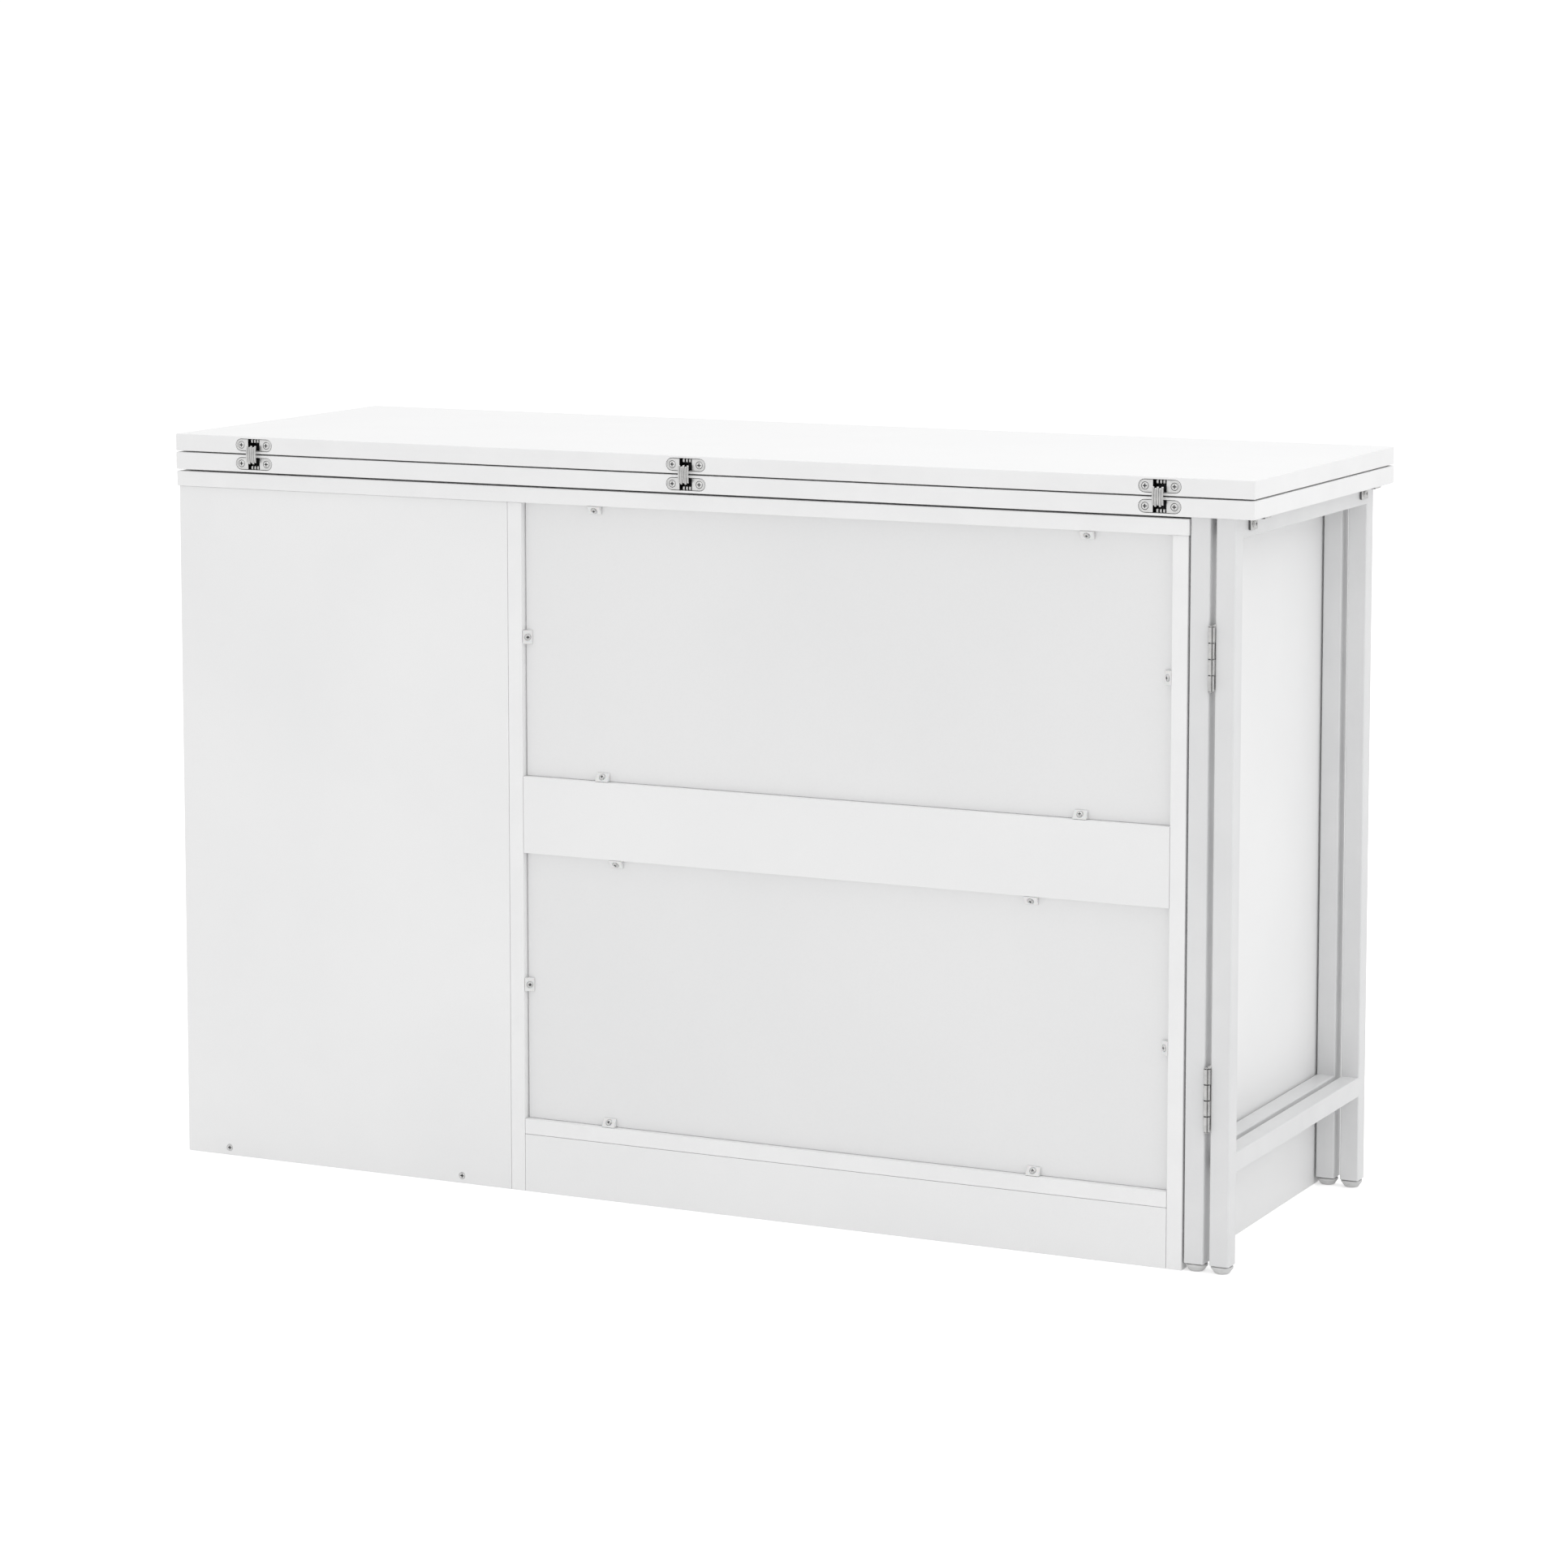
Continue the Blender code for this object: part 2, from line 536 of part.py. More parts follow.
def make_butt_leaf(name, bottom, side, turns, parent):
    """One leaf of a butt hinge: a plate against the tube, with its own knuckles."""
    pitch = BUTT_HEIGHT / BUTT_KNUCKLES
    face = SWING_X + side * (FRAME_GAP / 2 - TOUCH_GAP)
    inner = face - side * BUTT_PLATE_THICK
    low_x, high_x = min(face, inner), max(face, inner)
    plate_end = SWING_Y - BARREL_RADIUS - BUTT_KNUCKLE_GAP
    leaf = board(name, (low_x, plate_end - BUTT_PLATE_WIDTH, bottom),
                 (high_x, plate_end, bottom + BUTT_HEIGHT), NICKEL)
    for k in turns:
        low = bottom + k * pitch + BUTT_KNUCKLE_GAP / 2
        high = bottom + (k + 1) * pitch - BUTT_KNUCKLE_GAP / 2
        tab = bmesh.new()
        add_box(tab, (low_x, plate_end - BUTT_PLATE_THICK, low), (high_x, SWING_Y, high))
        fuse(leaf, keep(f"{name}_tab_{k}", tab))
        knuckle = bmesh.new()
        add_prism(knuckle, circle(BARREL_RADIUS, (SWING_X, SWING_Y)), along_z, low, high)
        fuse(leaf, keep(f"{name}_knuckle_{k}", knuckle))
    bore = bmesh.new()
    add_prism(bore, circle(PIN_RADIUS + PIN_CLEARANCE, (SWING_X, SWING_Y), 12), along_z,
              bottom - CUT_PAST, bottom + BUTT_HEIGHT + CUT_PAST)
    cut(leaf, keep(name + "_bore", bore))
    attach(leaf, parent)


def make_butt_hinges(table, gate):
    for place, bottom in zip(("lower", "upper"), BUTT_BOTTOM_Z):
        make_butt_leaf(f"butt_hinge_fixed_leaf_{place}", bottom, 1, (0, 2), table)
        make_butt_leaf(f"butt_hinge_moving_leaf_{place}", bottom, -1, (1, 3), gate)
        top = bottom + BUTT_HEIGHT + TOUCH_GAP
        base = bottom - TOUCH_GAP
        head = BARREL_RADIUS * PIN_HEAD_SHARE
        crown = head * DOME_SHARE
        profile = [(crown, base - PIN_HEAD_RISE), (head, base - PIN_HEAD_RISE / 2), (head, base),
                   (PIN_RADIUS, base), (PIN_RADIUS, top), (head, top), (head, top + PIN_HEAD_RISE / 2),
                   (crown, top + PIN_HEAD_RISE)]
        pin = bmesh.new()
        add_turned(pin, profile, (SWING_X, SWING_Y), along_z, 12)
        attach(keep(f"butt_hinge_pin_{place}", pin, NICKEL), table)


def make_gate_brackets(gate):
    """Angle brackets on the gate's top rail, each with one pan screw."""
    face = GATE_X - TOUCH_GAP
    for place, y in (("rear", REAR_Y - BRACKET_INSET_REAR), ("front", FRONT_Y + BRACKET_INSET_FRONT)):
        low_y, high_y = y - BRACKET_WIDTH / 2, y + BRACKET_WIDTH / 2
        outline = [(face, FRAME_TOP), (face, FRAME_TOP - BRACKET_DROP),
                   (face - BRACKET_THICK, FRAME_TOP - BRACKET_DROP),
                   (face - BRACKET_THICK, FRAME_TOP - BRACKET_THICK),
                   (face - BRACKET_REACH, FRAME_TOP - BRACKET_THICK), (face - BRACKET_REACH, FRAME_TOP)]
        shell = bmesh.new()
        add_prism(shell, outline, along_y, low_y, high_y)
        bracket = keep(f"gate_bracket_{place}", shell, NICKEL)
        outside = face - BRACKET_THICK
        profile = [(BRACKET_SCREW_RADIUS, outside + BRACKET_THICK / 2),
                   (BRACKET_SCREW_RADIUS, outside - BRACKET_SCREW_RISE / 2),
                   (BRACKET_SCREW_RADIUS * DOME_SHARE, outside - BRACKET_SCREW_RISE)]
        head = bmesh.new()
        centre_z = FRAME_TOP - BRACKET_THICK - (BRACKET_DROP - BRACKET_THICK) / 2
        add_turned(head, profile, (y, centre_z), along_x, 16)
        fuse(bracket, keep(f"gate_bracket_{place}_screw", head))
        attach(bracket, gate)


# ---- assembly ----------------------------------------------------------------
def guide(name, location):
    empty = bpy.data.objects.new(name, None)
    empty.location = location
    bpy.context.scene.collection.objects.link(empty)
    return empty


make_carcass()
make_clips()
make_tower_screws()
make_slide_guides()

TABLE = guide("table_slide", (0, 0, LOWER_LEAF_Z))
FLIP = guide("leaf_flip_axis", (0, FLIP_Y, FLIP_Z))
FOLD = guide("link_fold_axis", (0, FLIP_Y, FLIP_Z))
GATE = guide("gate_swing_axis", (SWING_X, SWING_Y, 0))
bpy.context.view_layer.update()
for child in (FLIP, FOLD, GATE):
    attach(child, TABLE)
bpy.context.view_layer.update()

make_leaves(TABLE, FLIP)
make_links(FOLD)
make_frame("fixed_frame", FIXED_X, TABLE, None)
make_frame("gate_frame", GATE_X, GATE, (SWING_X, SWING_Y, 0))
make_butt_hinges(TABLE, GATE)
make_gate_brackets(GATE)
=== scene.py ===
from math import cos, hypot, pi, radians, sin

import bmesh
import bpy
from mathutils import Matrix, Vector


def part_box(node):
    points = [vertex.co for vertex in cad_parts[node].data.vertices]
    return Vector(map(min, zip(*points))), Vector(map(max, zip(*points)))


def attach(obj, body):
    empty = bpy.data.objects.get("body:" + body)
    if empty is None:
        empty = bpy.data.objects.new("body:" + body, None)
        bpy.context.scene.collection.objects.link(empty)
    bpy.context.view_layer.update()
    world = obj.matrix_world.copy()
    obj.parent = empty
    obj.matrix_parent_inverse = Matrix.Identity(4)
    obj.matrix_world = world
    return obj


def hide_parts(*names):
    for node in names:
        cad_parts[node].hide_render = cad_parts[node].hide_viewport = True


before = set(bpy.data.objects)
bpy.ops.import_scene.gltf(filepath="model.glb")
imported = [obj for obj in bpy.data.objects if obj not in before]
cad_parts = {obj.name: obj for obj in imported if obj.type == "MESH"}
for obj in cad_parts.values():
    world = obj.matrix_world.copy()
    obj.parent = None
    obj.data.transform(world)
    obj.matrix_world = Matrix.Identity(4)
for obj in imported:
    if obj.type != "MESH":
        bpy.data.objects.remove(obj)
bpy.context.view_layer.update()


# ---- Studio ------------------------------------------------------------------
# A pale seamless floor in an even white room, with a broad overhead softbox and a low
# one beyond the leg frames. Only shiny metal sees the room's dark stands and flags.
# None of this belongs to the cabinet.
FLOOR_HALF = 40.0
FLOOR_WHITE = (0.90, 0.90, 0.90, 1.0)
FLOOR_GLOW = 0.12
FLOOR_SEEN_GLOW = 0.35
ROOM_SEEN = 1.05
ROOM_LIGHT = 0.87
ROOM_DARK = 0.12
ROOM_BRIGHT = 0.95
FLAG_FULL = -0.46
FLAG_EDGE = -0.20
OVERHEAD_SIZE = 4.0
OVERHEAD_WATTS = 46.0
OVERHEAD_PLACE = (0.2, -0.4, 4.4)
SIDE_SIZE = 2.4
SIDE_WATTS = 17.0
SIDE_PLACE = (-2.9, 0.5, 2.9)
LAMPS_AIM = (0, 0, 0.4)
CAMERA_PLACE = (-2.1184, 4.3554, 1.1902)
CAMERA_TILT = 6.497
CAMERA_TURN = 25.816
CAMERA_LENS = 108.17
CAMERA_RISE = -0.14

floor_shell = bmesh.new()
floor_corners = [floor_shell.verts.new((x * FLOOR_HALF, y * FLOOR_HALF, 0.0))
                 for x, y in ((-1, -1), (1, -1), (1, 1), (-1, 1))]
floor_shell.faces.new(floor_corners)
floor_mesh = bpy.data.meshes.new("studio_floor")
floor_shell.to_mesh(floor_mesh)
floor_shell.free()
studio_floor = bpy.data.objects.new("studio_floor", floor_mesh)
bpy.context.scene.collection.objects.link(studio_floor)
floor_paint = bpy.data.materials.new("studio_floor")
floor_paint.use_nodes = True
floor_shader = floor_paint.node_tree.nodes["Principled BSDF"]
floor_shader.inputs["Base Color"].default_value = FLOOR_WHITE
floor_shader.inputs["Roughness"].default_value = 0.9
floor_shader.inputs["Specular IOR Level"].default_value = 0.0
floor_shader.inputs["Emission Color"].default_value = FLOOR_WHITE
floor_shader.inputs["Emission Strength"].default_value = FLOOR_GLOW
floor_nodes = floor_paint.node_tree.nodes
unseen_floor = floor_nodes.new("ShaderNodeBsdfTransparent")
floor_path = floor_nodes.new("ShaderNodeLightPath")
floor_choice = floor_nodes.new("ShaderNodeMixShader")
floor_paint.node_tree.links.new(floor_path.outputs["Is Glossy Ray"], floor_choice.inputs[0])
floor_seen = floor_nodes.new("ShaderNodeEmission")
floor_seen_glow = floor_nodes.new("ShaderNodeMath")
floor_seen_glow.operation = "MULTIPLY"
floor_seen_glow.inputs[1].default_value = FLOOR_SEEN_GLOW
floor_sum = floor_nodes.new("ShaderNodeAddShader")
floor_paint.node_tree.links.new(floor_path.outputs["Is Camera Ray"], floor_seen_glow.inputs[0])
floor_paint.node_tree.links.new(floor_seen_glow.outputs[0], floor_seen.inputs["Strength"])
floor_paint.node_tree.links.new(floor_shader.outputs[0], floor_sum.inputs[0])
floor_paint.node_tree.links.new(floor_seen.outputs[0], floor_sum.inputs[1])
floor_paint.node_tree.links.new(floor_sum.outputs[0], floor_choice.inputs[1])
floor_paint.node_tree.links.new(unseen_floor.outputs[0], floor_choice.inputs[2])
floor_paint.node_tree.links.new(floor_choice.outputs[0], floor_nodes["Material Output"].inputs["Surface"])
floor_mesh.materials.append(floor_paint)

room = bpy.data.worlds.new("studio_room")
room.use_nodes = True
bpy.context.scene.world = room
room_nodes = room.node_tree.nodes
room_light = room_nodes["Background"]
room_light.inputs["Strength"].default_value = ROOM_LIGHT
room_light.inputs["Color"].default_value = (1.0, 1.0, 1.0, 1.0)
room_seen = room_nodes.new("ShaderNodeBackground")
room_seen.inputs["Strength"].default_value = ROOM_SEEN
room_seen.inputs["Color"].default_value = (1.0, 1.0, 1.0, 1.0)
seen_or_lit = room_nodes.new("ShaderNodeMixShader")
room_path = room_nodes.new("ShaderNodeLightPath")
room.node_tree.links.new(room_path.outputs["Is Camera Ray"], seen_or_lit.inputs[0])
bearing = room_nodes.new("ShaderNodeTexCoord")
compass = room_nodes.new("ShaderNodeSeparateXYZ")
rear_half = room_nodes.new("ShaderNodeMath")
rear_half.operation = "MAXIMUM"
rear_half.inputs[1].default_value = 0.0
quarters = room_nodes.new("ShaderNodeMath")
quarters.operation = "MULTIPLY"
flag_tone = room_nodes.new("ShaderNodeMapRange")
for label, number in (("From Min", FLAG_FULL), ("From Max", FLAG_EDGE),
                      ("To Min", ROOM_DARK), ("To Max", ROOM_BRIGHT)):
    flag_tone.inputs[label].default_value = number
room_mirrored = room_nodes.new("ShaderNodeBackground")
room.node_tree.links.new(bearing.outputs["Generated"], compass.inputs["Vector"])
room.node_tree.links.new(compass.outputs["X"], quarters.inputs[0])
room.node_tree.links.new(compass.outputs["Y"], rear_half.inputs[0])
room.node_tree.links.new(rear_half.outputs[0], quarters.inputs[1])
room.node_tree.links.new(quarters.outputs[0], flag_tone.inputs["Value"])
room.node_tree.links.new(flag_tone.outputs["Result"], room_mirrored.inputs["Strength"])
lit_or_mirrored = room_nodes.new("ShaderNodeMixShader")
room.node_tree.links.new(room_path.outputs["Is Glossy Ray"], lit_or_mirrored.inputs[0])
room.node_tree.links.new(room_light.outputs[0], lit_or_mirrored.inputs[1])
room.node_tree.links.new(room_mirrored.outputs[0], lit_or_mirrored.inputs[2])
room.node_tree.links.new(lit_or_mirrored.outputs[0], seen_or_lit.inputs[1])
room.node_tree.links.new(room_seen.outputs[0], seen_or_lit.inputs[2])
room.node_tree.links.new(seen_or_lit.outputs[0], room_nodes["World Output"].inputs["Surface"])

for lamp_name, lamp_place, lamp_size, lamp_watts in (
        ("overhead_softbox", OVERHEAD_PLACE, OVERHEAD_SIZE, OVERHEAD_WATTS),
        ("side_softbox", SIDE_PLACE, SIDE_SIZE, SIDE_WATTS)):
    lamp = bpy.data.lights.new(lamp_name, "AREA")
    lamp.size = lamp_size
    lamp.energy = lamp_watts
    lamp_stand = bpy.data.objects.new(lamp_name, lamp)
    lamp_stand.location = lamp_place
    lamp_stand.rotation_euler = (Vector(lamp_place) - Vector(LAMPS_AIM)).to_track_quat("Z", "Y").to_euler()
    bpy.context.scene.collection.objects.link(lamp_stand)

studio_camera = bpy.data.objects.new("studio_camera", bpy.data.cameras.new("studio_camera"))
studio_camera.location = CAMERA_PLACE
studio_camera.rotation_euler = (radians(90 - CAMERA_TILT), 0.0, radians(180 + CAMERA_TURN))
studio_camera.data.lens = CAMERA_LENS
studio_camera.data.shift_y = CAMERA_RISE
bpy.context.scene.collection.objects.link(studio_camera)
bpy.context.scene.camera = studio_camera
bpy.context.scene.view_settings.view_transform = "Standard"


# ---- Cabinet boards ----------------------------------------------------------
# Sixteen-millimetre chipboard faced with white melamine paper, cut to size and taped
# round its edges. Dowels and cam bolts hold the boards together, so only thin joint
# lines show, and every arris is scraped by the tape trimmer.
BOARD_ARRIS = 0.0005
MELAMINE_WHITE = (0.865, 0.865, 0.865, 1.0)
MELAMINE_SHADE = (0.835, 0.836, 0.838, 1.0)
TAPE_WHITE = (0.875, 0.875, 0.876, 1.0)
TAPE_SHADE = (0.850, 0.850, 0.852, 1.0)


def start_group(name, inputs, outputs):
    """An empty shader node group with its sockets, and its entry and exit nodes."""
    group = bpy.data.node_groups.new(name, "ShaderNodeTree")
    for label, kind, value in inputs:
        socket = group.interface.new_socket(label, in_out="INPUT", socket_type=kind)
        socket.default_value = value
    for label, kind in outputs:
        group.interface.new_socket(label, in_out="OUTPUT", socket_type=kind)
    return group, group.nodes.new("NodeGroupInput"), group.nodes.new("NodeGroupOutput")


def noise(tree, scale, detail):
    """A noise texture that lies on the piece itself; scale is a number or a socket."""
    lie = tree.nodes.new("ShaderNodeTexCoord")
    texture = tree.nodes.new("ShaderNodeTexNoise")
    texture.inputs["Detail"].default_value = detail
    tree.links.new(lie.outputs["Object"], texture.inputs["Vector"])
    if isinstance(scale, float):
        texture.inputs["Scale"].default_value = scale
    else:
        tree.links.new(scale, texture.inputs["Scale"])
    return texture.outputs["Fac"]


def spread(tree, value, low, high, to_low=0.0, to_high=1.0):
    """Stretches a value's low..high over to_low..to_high; either end may be a socket."""
    stretch = tree.nodes.new("ShaderNodeMapRange")
    tree.links.new(value, stretch.inputs["Value"])
    for label, number in (("From Min", low), ("From Max", high), ("To Min", to_low), ("To Max", to_high)):
        if isinstance(number, float):
            stretch.inputs[label].default_value = number
        else:
            tree.links.new(number, stretch.inputs[label])
    return stretch.outputs["Result"]


COLOUR, NUMBER, DIRECTION = "NodeSocketColor", "NodeSocketFloat", "NodeSocketVector"

# Slow clouds and fine flecks that keep a white finish from being one flat colour.
uneven_finish, uneven_in, uneven_out = start_group(
    "uneven_finish",
    (("Colour", COLOUR, MELAMINE_WHITE), ("Shade", COLOUR, MELAMINE_SHADE), ("Cloud Scale", NUMBER, 5.0),
     ("Fleck Scale", NUMBER, 900.0), ("Roughness Low", NUMBER, 0.4), ("Roughness High", NUMBER, 0.5)),
    (("Colour", COLOUR), ("Roughness", NUMBER)))
clouds = spread(uneven_finish, noise(uneven_finish, uneven_in.outputs["Cloud Scale"], 4.0), 0.35, 0.70)
flecks = spread(uneven_finish, noise(uneven_finish, uneven_in.outputs["Fleck Scale"], 1.0), 0.45, 0.75)
both = uneven_finish.nodes.new("ShaderNodeMath")
both.operation = "MULTIPLY_ADD"
both.inputs[1].default_value = 0.35
uneven_finish.links.new(flecks, both.inputs[0])
uneven_finish.links.new(clouds, both.inputs[2])
tint = uneven_finish.nodes.new("ShaderNodeMix")
tint.data_type = "RGBA"
uneven_finish.links.new(both.outputs[0], tint.inputs["Factor"])
uneven_finish.links.new(uneven_in.outputs["Colour"], tint.inputs["A"])
uneven_finish.links.new(uneven_in.outputs["Shade"], tint.inputs["B"])
uneven_finish.links.new(tint.outputs["Result"], uneven_out.inputs["Colour"])
worn = spread(uneven_finish, clouds, 0.0, 1.0, uneven_in.outputs["Roughness Low"],
              uneven_in.outputs["Roughness High"])
uneven_finish.links.new(worn, uneven_out.inputs["Roughness"])

# The pearl of pressed melamine, the orange peel of paint and the grain of moulded plastic.
fine_relief, relief_in, relief_out = start_group(
    "fine_relief",
    (("Grain Scale", NUMBER, 1400.0), ("Wave Scale", NUMBER, 60.0), ("Wave Share", NUMBER, 0.3),
     ("Depth", NUMBER, 0.00002)),
    (("Normal", DIRECTION),))
grain = noise(fine_relief, relief_in.outputs["Grain Scale"], 2.0)
wave = noise(fine_relief, relief_in.outputs["Wave Scale"], 1.0)
layered = fine_relief.nodes.new("ShaderNodeMix")
fine_relief.links.new(relief_in.outputs["Wave Share"], layered.inputs["Factor"])
fine_relief.links.new(grain, layered.inputs["A"])
fine_relief.links.new(wave, layered.inputs["B"])
press = fine_relief.nodes.new("ShaderNodeBump")
fine_relief.links.new(layered.outputs["Result"], press.inputs["Height"])
fine_relief.links.new(relief_in.outputs["Depth"], press.inputs["Distance"])
fine_relief.links.new(press.outputs["Normal"], relief_out.inputs["Normal"])


def place_group(material, group, values):
    """The node of a group in a material, with its inputs set."""
    node = material.node_tree.nodes.new("ShaderNodeGroup")
    node.node_tree = group
    for label, value in values.items():
        node.inputs[label].default_value = value
    return node


def white_finish(name, uneven, relief, **shader_values):
    """A white coated surface: its colour and gloss drift a little and its skin is not quite flat."""
    material = bpy.data.materials.new(name)
    material.use_nodes = True
    shader = material.node_tree.nodes["Principled BSDF"]
    for label, value in shader_values.items():
        shader.inputs[label.replace("_", " ")].default_value = value
    drift = place_group(material, uneven_finish, uneven)
    skin = place_group(material, fine_relief, relief)
    material.node_tree.links.new(drift.outputs["Colour"], shader.inputs["Base Color"])
    material.node_tree.links.new(drift.outputs["Roughness"], shader.inputs["Roughness"])
    material.node_tree.links.new(skin.outputs["Normal"], shader.inputs["Normal"])
    return material


melamine = white_finish(
    "white_melamine",
    {"Colour": MELAMINE_WHITE, "Shade": MELAMINE_SHADE, "Cloud Scale": 4.0, "Fleck Scale": 700.0,
     "Roughness Low": 0.40, "Roughness High": 0.50},
    {"Grain Scale": 1500.0, "Wave Scale": 45.0, "Wave Share": 0.25, "Depth": 0.00003}, IOR=1.48)
edge_tape = white_finish(
    "white_edge_tape",
    {"Colour": TAPE_WHITE, "Shade": TAPE_SHADE, "Cloud Scale": 22.0, "Fleck Scale": 1100.0,
     "Roughness Low": 0.30, "Roughness High": 0.42},
    {"Grain Scale": 2200.0, "Wave Scale": 120.0, "Wave Share": 0.55, "Depth": 0.00002}, IOR=1.50)


def piece(name, shell, materials, body, nodes=()):
    """Turns a bmesh into a piece that rides on a body and stands for CAD nodes."""
    mesh = bpy.data.meshes.new(name)
    shell.to_mesh(mesh)
    shell.free()
    for material in materials:
        mesh.materials.append(material)
    mesh.shade_smooth()
    made = bpy.data.objects.new(name, mesh)
    bpy.context.scene.collection.objects.link(made)
    even = made.modifiers.new("even_shading", "WEIGHTED_NORMAL")
    even.keep_sharp = True
    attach(made, body)
    if nodes:
        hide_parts(*nodes)
    return made


def mark_sharp(shell, angle=50):
    """Keeps the creases that are meant to be crisp, such as the rim of a hole."""
    for edge in shell.edges:
        edge.smooth = edge.calc_face_angle(0) < radians(angle)


def cut_board(node, arris):
    """A sawn board with its long arrises eased. Its two wide faces take the first material."""
    shell = bmesh.new()
    shell.from_mesh(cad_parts[node].data)
    bmesh.ops.remove_doubles(shell, verts=shell.verts, dist=0.000002)
    bmesh.ops.dissolve_limit(shell, angle_limit=radians(0.5), verts=shell.verts, edges=shell.edges)
    low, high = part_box(node)
    size = high - low
    across = min(range(3), key=lambda axis: size[axis])

    def on_skin(vert):
        return {(axis, side) for axis in range(3) for side, wall in enumerate((low, high))
                if abs(vert.co[axis] - wall[axis]) < 0.00001}

    outer = [edge for edge in shell.edges if len(on_skin(edge.verts[0]) & on_skin(edge.verts[1])) == 2]
    bmesh.ops.bevel(shell, geom=outer, offset=arris, segments=2, profile=0.5, affect="EDGES",
                    clamp_overlap=True)
    for face in shell.faces:
        wide = abs(face.normal[across]) > 0.99
        face.material_index = 0 if wide else 1
    mark_sharp(shell)
    return shell


for board in ("cabinet_top", "end_panel", "divider_panel", "tower_rear_panel", "tower_front_panel",
              "tower_bottom_board", "tower_shelf_lower", "tower_shelf_upper", "bottom_shelf",
              "middle_shelf", "front_plinth", "rear_plinth", "rear_mid_rail"):
    piece(f"{board}_faced", cut_board(board, BOARD_ARRIS), (melamine, edge_tape), "cabinet",
          (board,))


# ---- Back panels -------------------------------------------------------------
# Two thin sheets of hardboard, painted white on the side that shows. They lie in the
# opening behind the shelves, a little way in from the rear edges of the boards.
HARDBOARD_WHITE = (0.820, 0.820, 0.821, 1.0)
HARDBOARD_SHADE = (0.795, 0.796, 0.798, 1.0)
SHEET_ARRIS = 0.0003

hardboard = white_finish(
    "white_hardboard",
    {"Colour": HARDBOARD_WHITE, "Shade": HARDBOARD_SHADE, "Cloud Scale": 3.0, "Fleck Scale": 420.0,
     "Roughness Low": 0.48, "Roughness High": 0.60},
    {"Grain Scale": 800.0, "Wave Scale": 12.0, "Wave Share": 0.5, "Depth": 0.00005}, IOR=1.46)
for sheet in ("upper_back_panel", "lower_back_panel"):
    piece(f"{sheet}_painted", cut_board(sheet, SHEET_ARRIS), (hardboard, hardboard), "cabinet",
          (sheet,))


# ---- Back panel clips --------------------------------------------------------
# Moulded plastic wedges in the corner between the back panel and the boards round it.
# One pan-head screw, in a round seat on the slope, pulls each into its corner.
CLIP_REACH = 0.0085
CLIP_RISE = 0.0060
CLIP_LIP = 0.0010
CLIP_EDGE = 0.0005
SEAT_RADIUS = 0.0036
SEAT_DEPTH = 0.0008
SEAT_FLARE = 0.0003
SEAT_HEIGHT = 0.003
PAN_RADIUS = 0.0030
PAN_RISE = 0.0020
PLASTIC_WHITE = (0.800, 0.800, 0.798, 1.0)
PLASTIC_SHADE = (0.770, 0.770, 0.767, 1.0)
CLIP_CROSS = 0.0017
CROSS_DEPTH = 0.0010
CROSS_CLEAR = 0.0004
CROSS_WEB = 0.27
ZINC = (0.88, 0.88, 0.875, 1.0)
ZINC_SHADE = (0.76, 0.76, 0.758, 1.0)
# Dark grey painted into the screws' cross recesses: painted shade where the driver's pocket falls into
# shadow.
RECESS_SHADE = (0.26, 0.26, 0.265, 1.0)
RECESS_DEEPER_SHADE = (0.15, 0.15, 0.152, 1.0)

plastic = white_finish(
    "white_plastic",
    {"Colour": PLASTIC_WHITE, "Shade": PLASTIC_SHADE, "Cloud Scale": 90.0, "Fleck Scale": 1500.0,
     "Roughness Low": 0.34, "Roughness High": 0.46},
    {"Grain Scale": 2600.0, "Wave Scale": 300.0, "Wave Share": 0.4, "Depth": 0.00003},
    IOR=1.50, Subsurface_Weight=0.06, Subsurface_Scale=0.002)

# Fine scratches and dull patches of plated metal, drawn out along one direction.
plated_metal, plated_in, plated_out = start_group(
    "plated_metal",
    (("Colour", COLOUR, ZINC), ("Shade", COLOUR, ZINC_SHADE), ("Patch Scale", NUMBER, 120.0),
     ("Scratch Scale", NUMBER, 900.0), ("Scratch Depth", NUMBER, 0.00001),
     ("Roughness Low", NUMBER, 0.2), ("Roughness High", NUMBER, 0.35)),
    (("Colour", COLOUR), ("Roughness", NUMBER), ("Normal", DIRECTION)))
patches = spread(plated_metal, noise(plated_metal, plated_in.outputs["Patch Scale"], 3.0), 0.35, 0.70)
drawn = plated_metal.nodes.new("ShaderNodeTexCoord")
draw_out = plated_metal.nodes.new("ShaderNodeMapping")
draw_out.inputs["Scale"].default_value = (1.0, 1.0, 0.06)
scratches = plated_metal.nodes.new("ShaderNodeTexNoise")
scratches.inputs["Detail"].default_value = 3.0
plated_metal.links.new(drawn.outputs["Object"], draw_out.inputs["Vector"])
plated_metal.links.new(draw_out.outputs["Vector"], scratches.inputs["Vector"])
plated_metal.links.new(plated_in.outputs["Scratch Scale"], scratches.inputs["Scale"])
tarnish = plated_metal.nodes.new("ShaderNodeMix")
tarnish.data_type = "RGBA"
plated_metal.links.new(patches, tarnish.inputs["Factor"])
plated_metal.links.new(plated_in.outputs["Colour"], tarnish.inputs["A"])
plated_metal.links.new(plated_in.outputs["Shade"], tarnish.inputs["B"])
plated_metal.links.new(tarnish.outputs["Result"], plated_out.inputs["Colour"])
plated_metal.links.new(spread(plated_metal, scratches.outputs["Fac"], 0.3, 0.7,
                              plated_in.outputs["Roughness Low"], plated_in.outputs["Roughness High"]),
                       plated_out.inputs["Roughness"])
score = plated_metal.nodes.new("ShaderNodeBump")
plated_metal.links.new(scratches.outputs["Fac"], score.inputs["Height"])
plated_metal.links.new(plated_in.outputs["Scratch Depth"], score.inputs["Distance"])
plated_metal.links.new(score.outputs["Normal"], plated_out.inputs["Normal"])


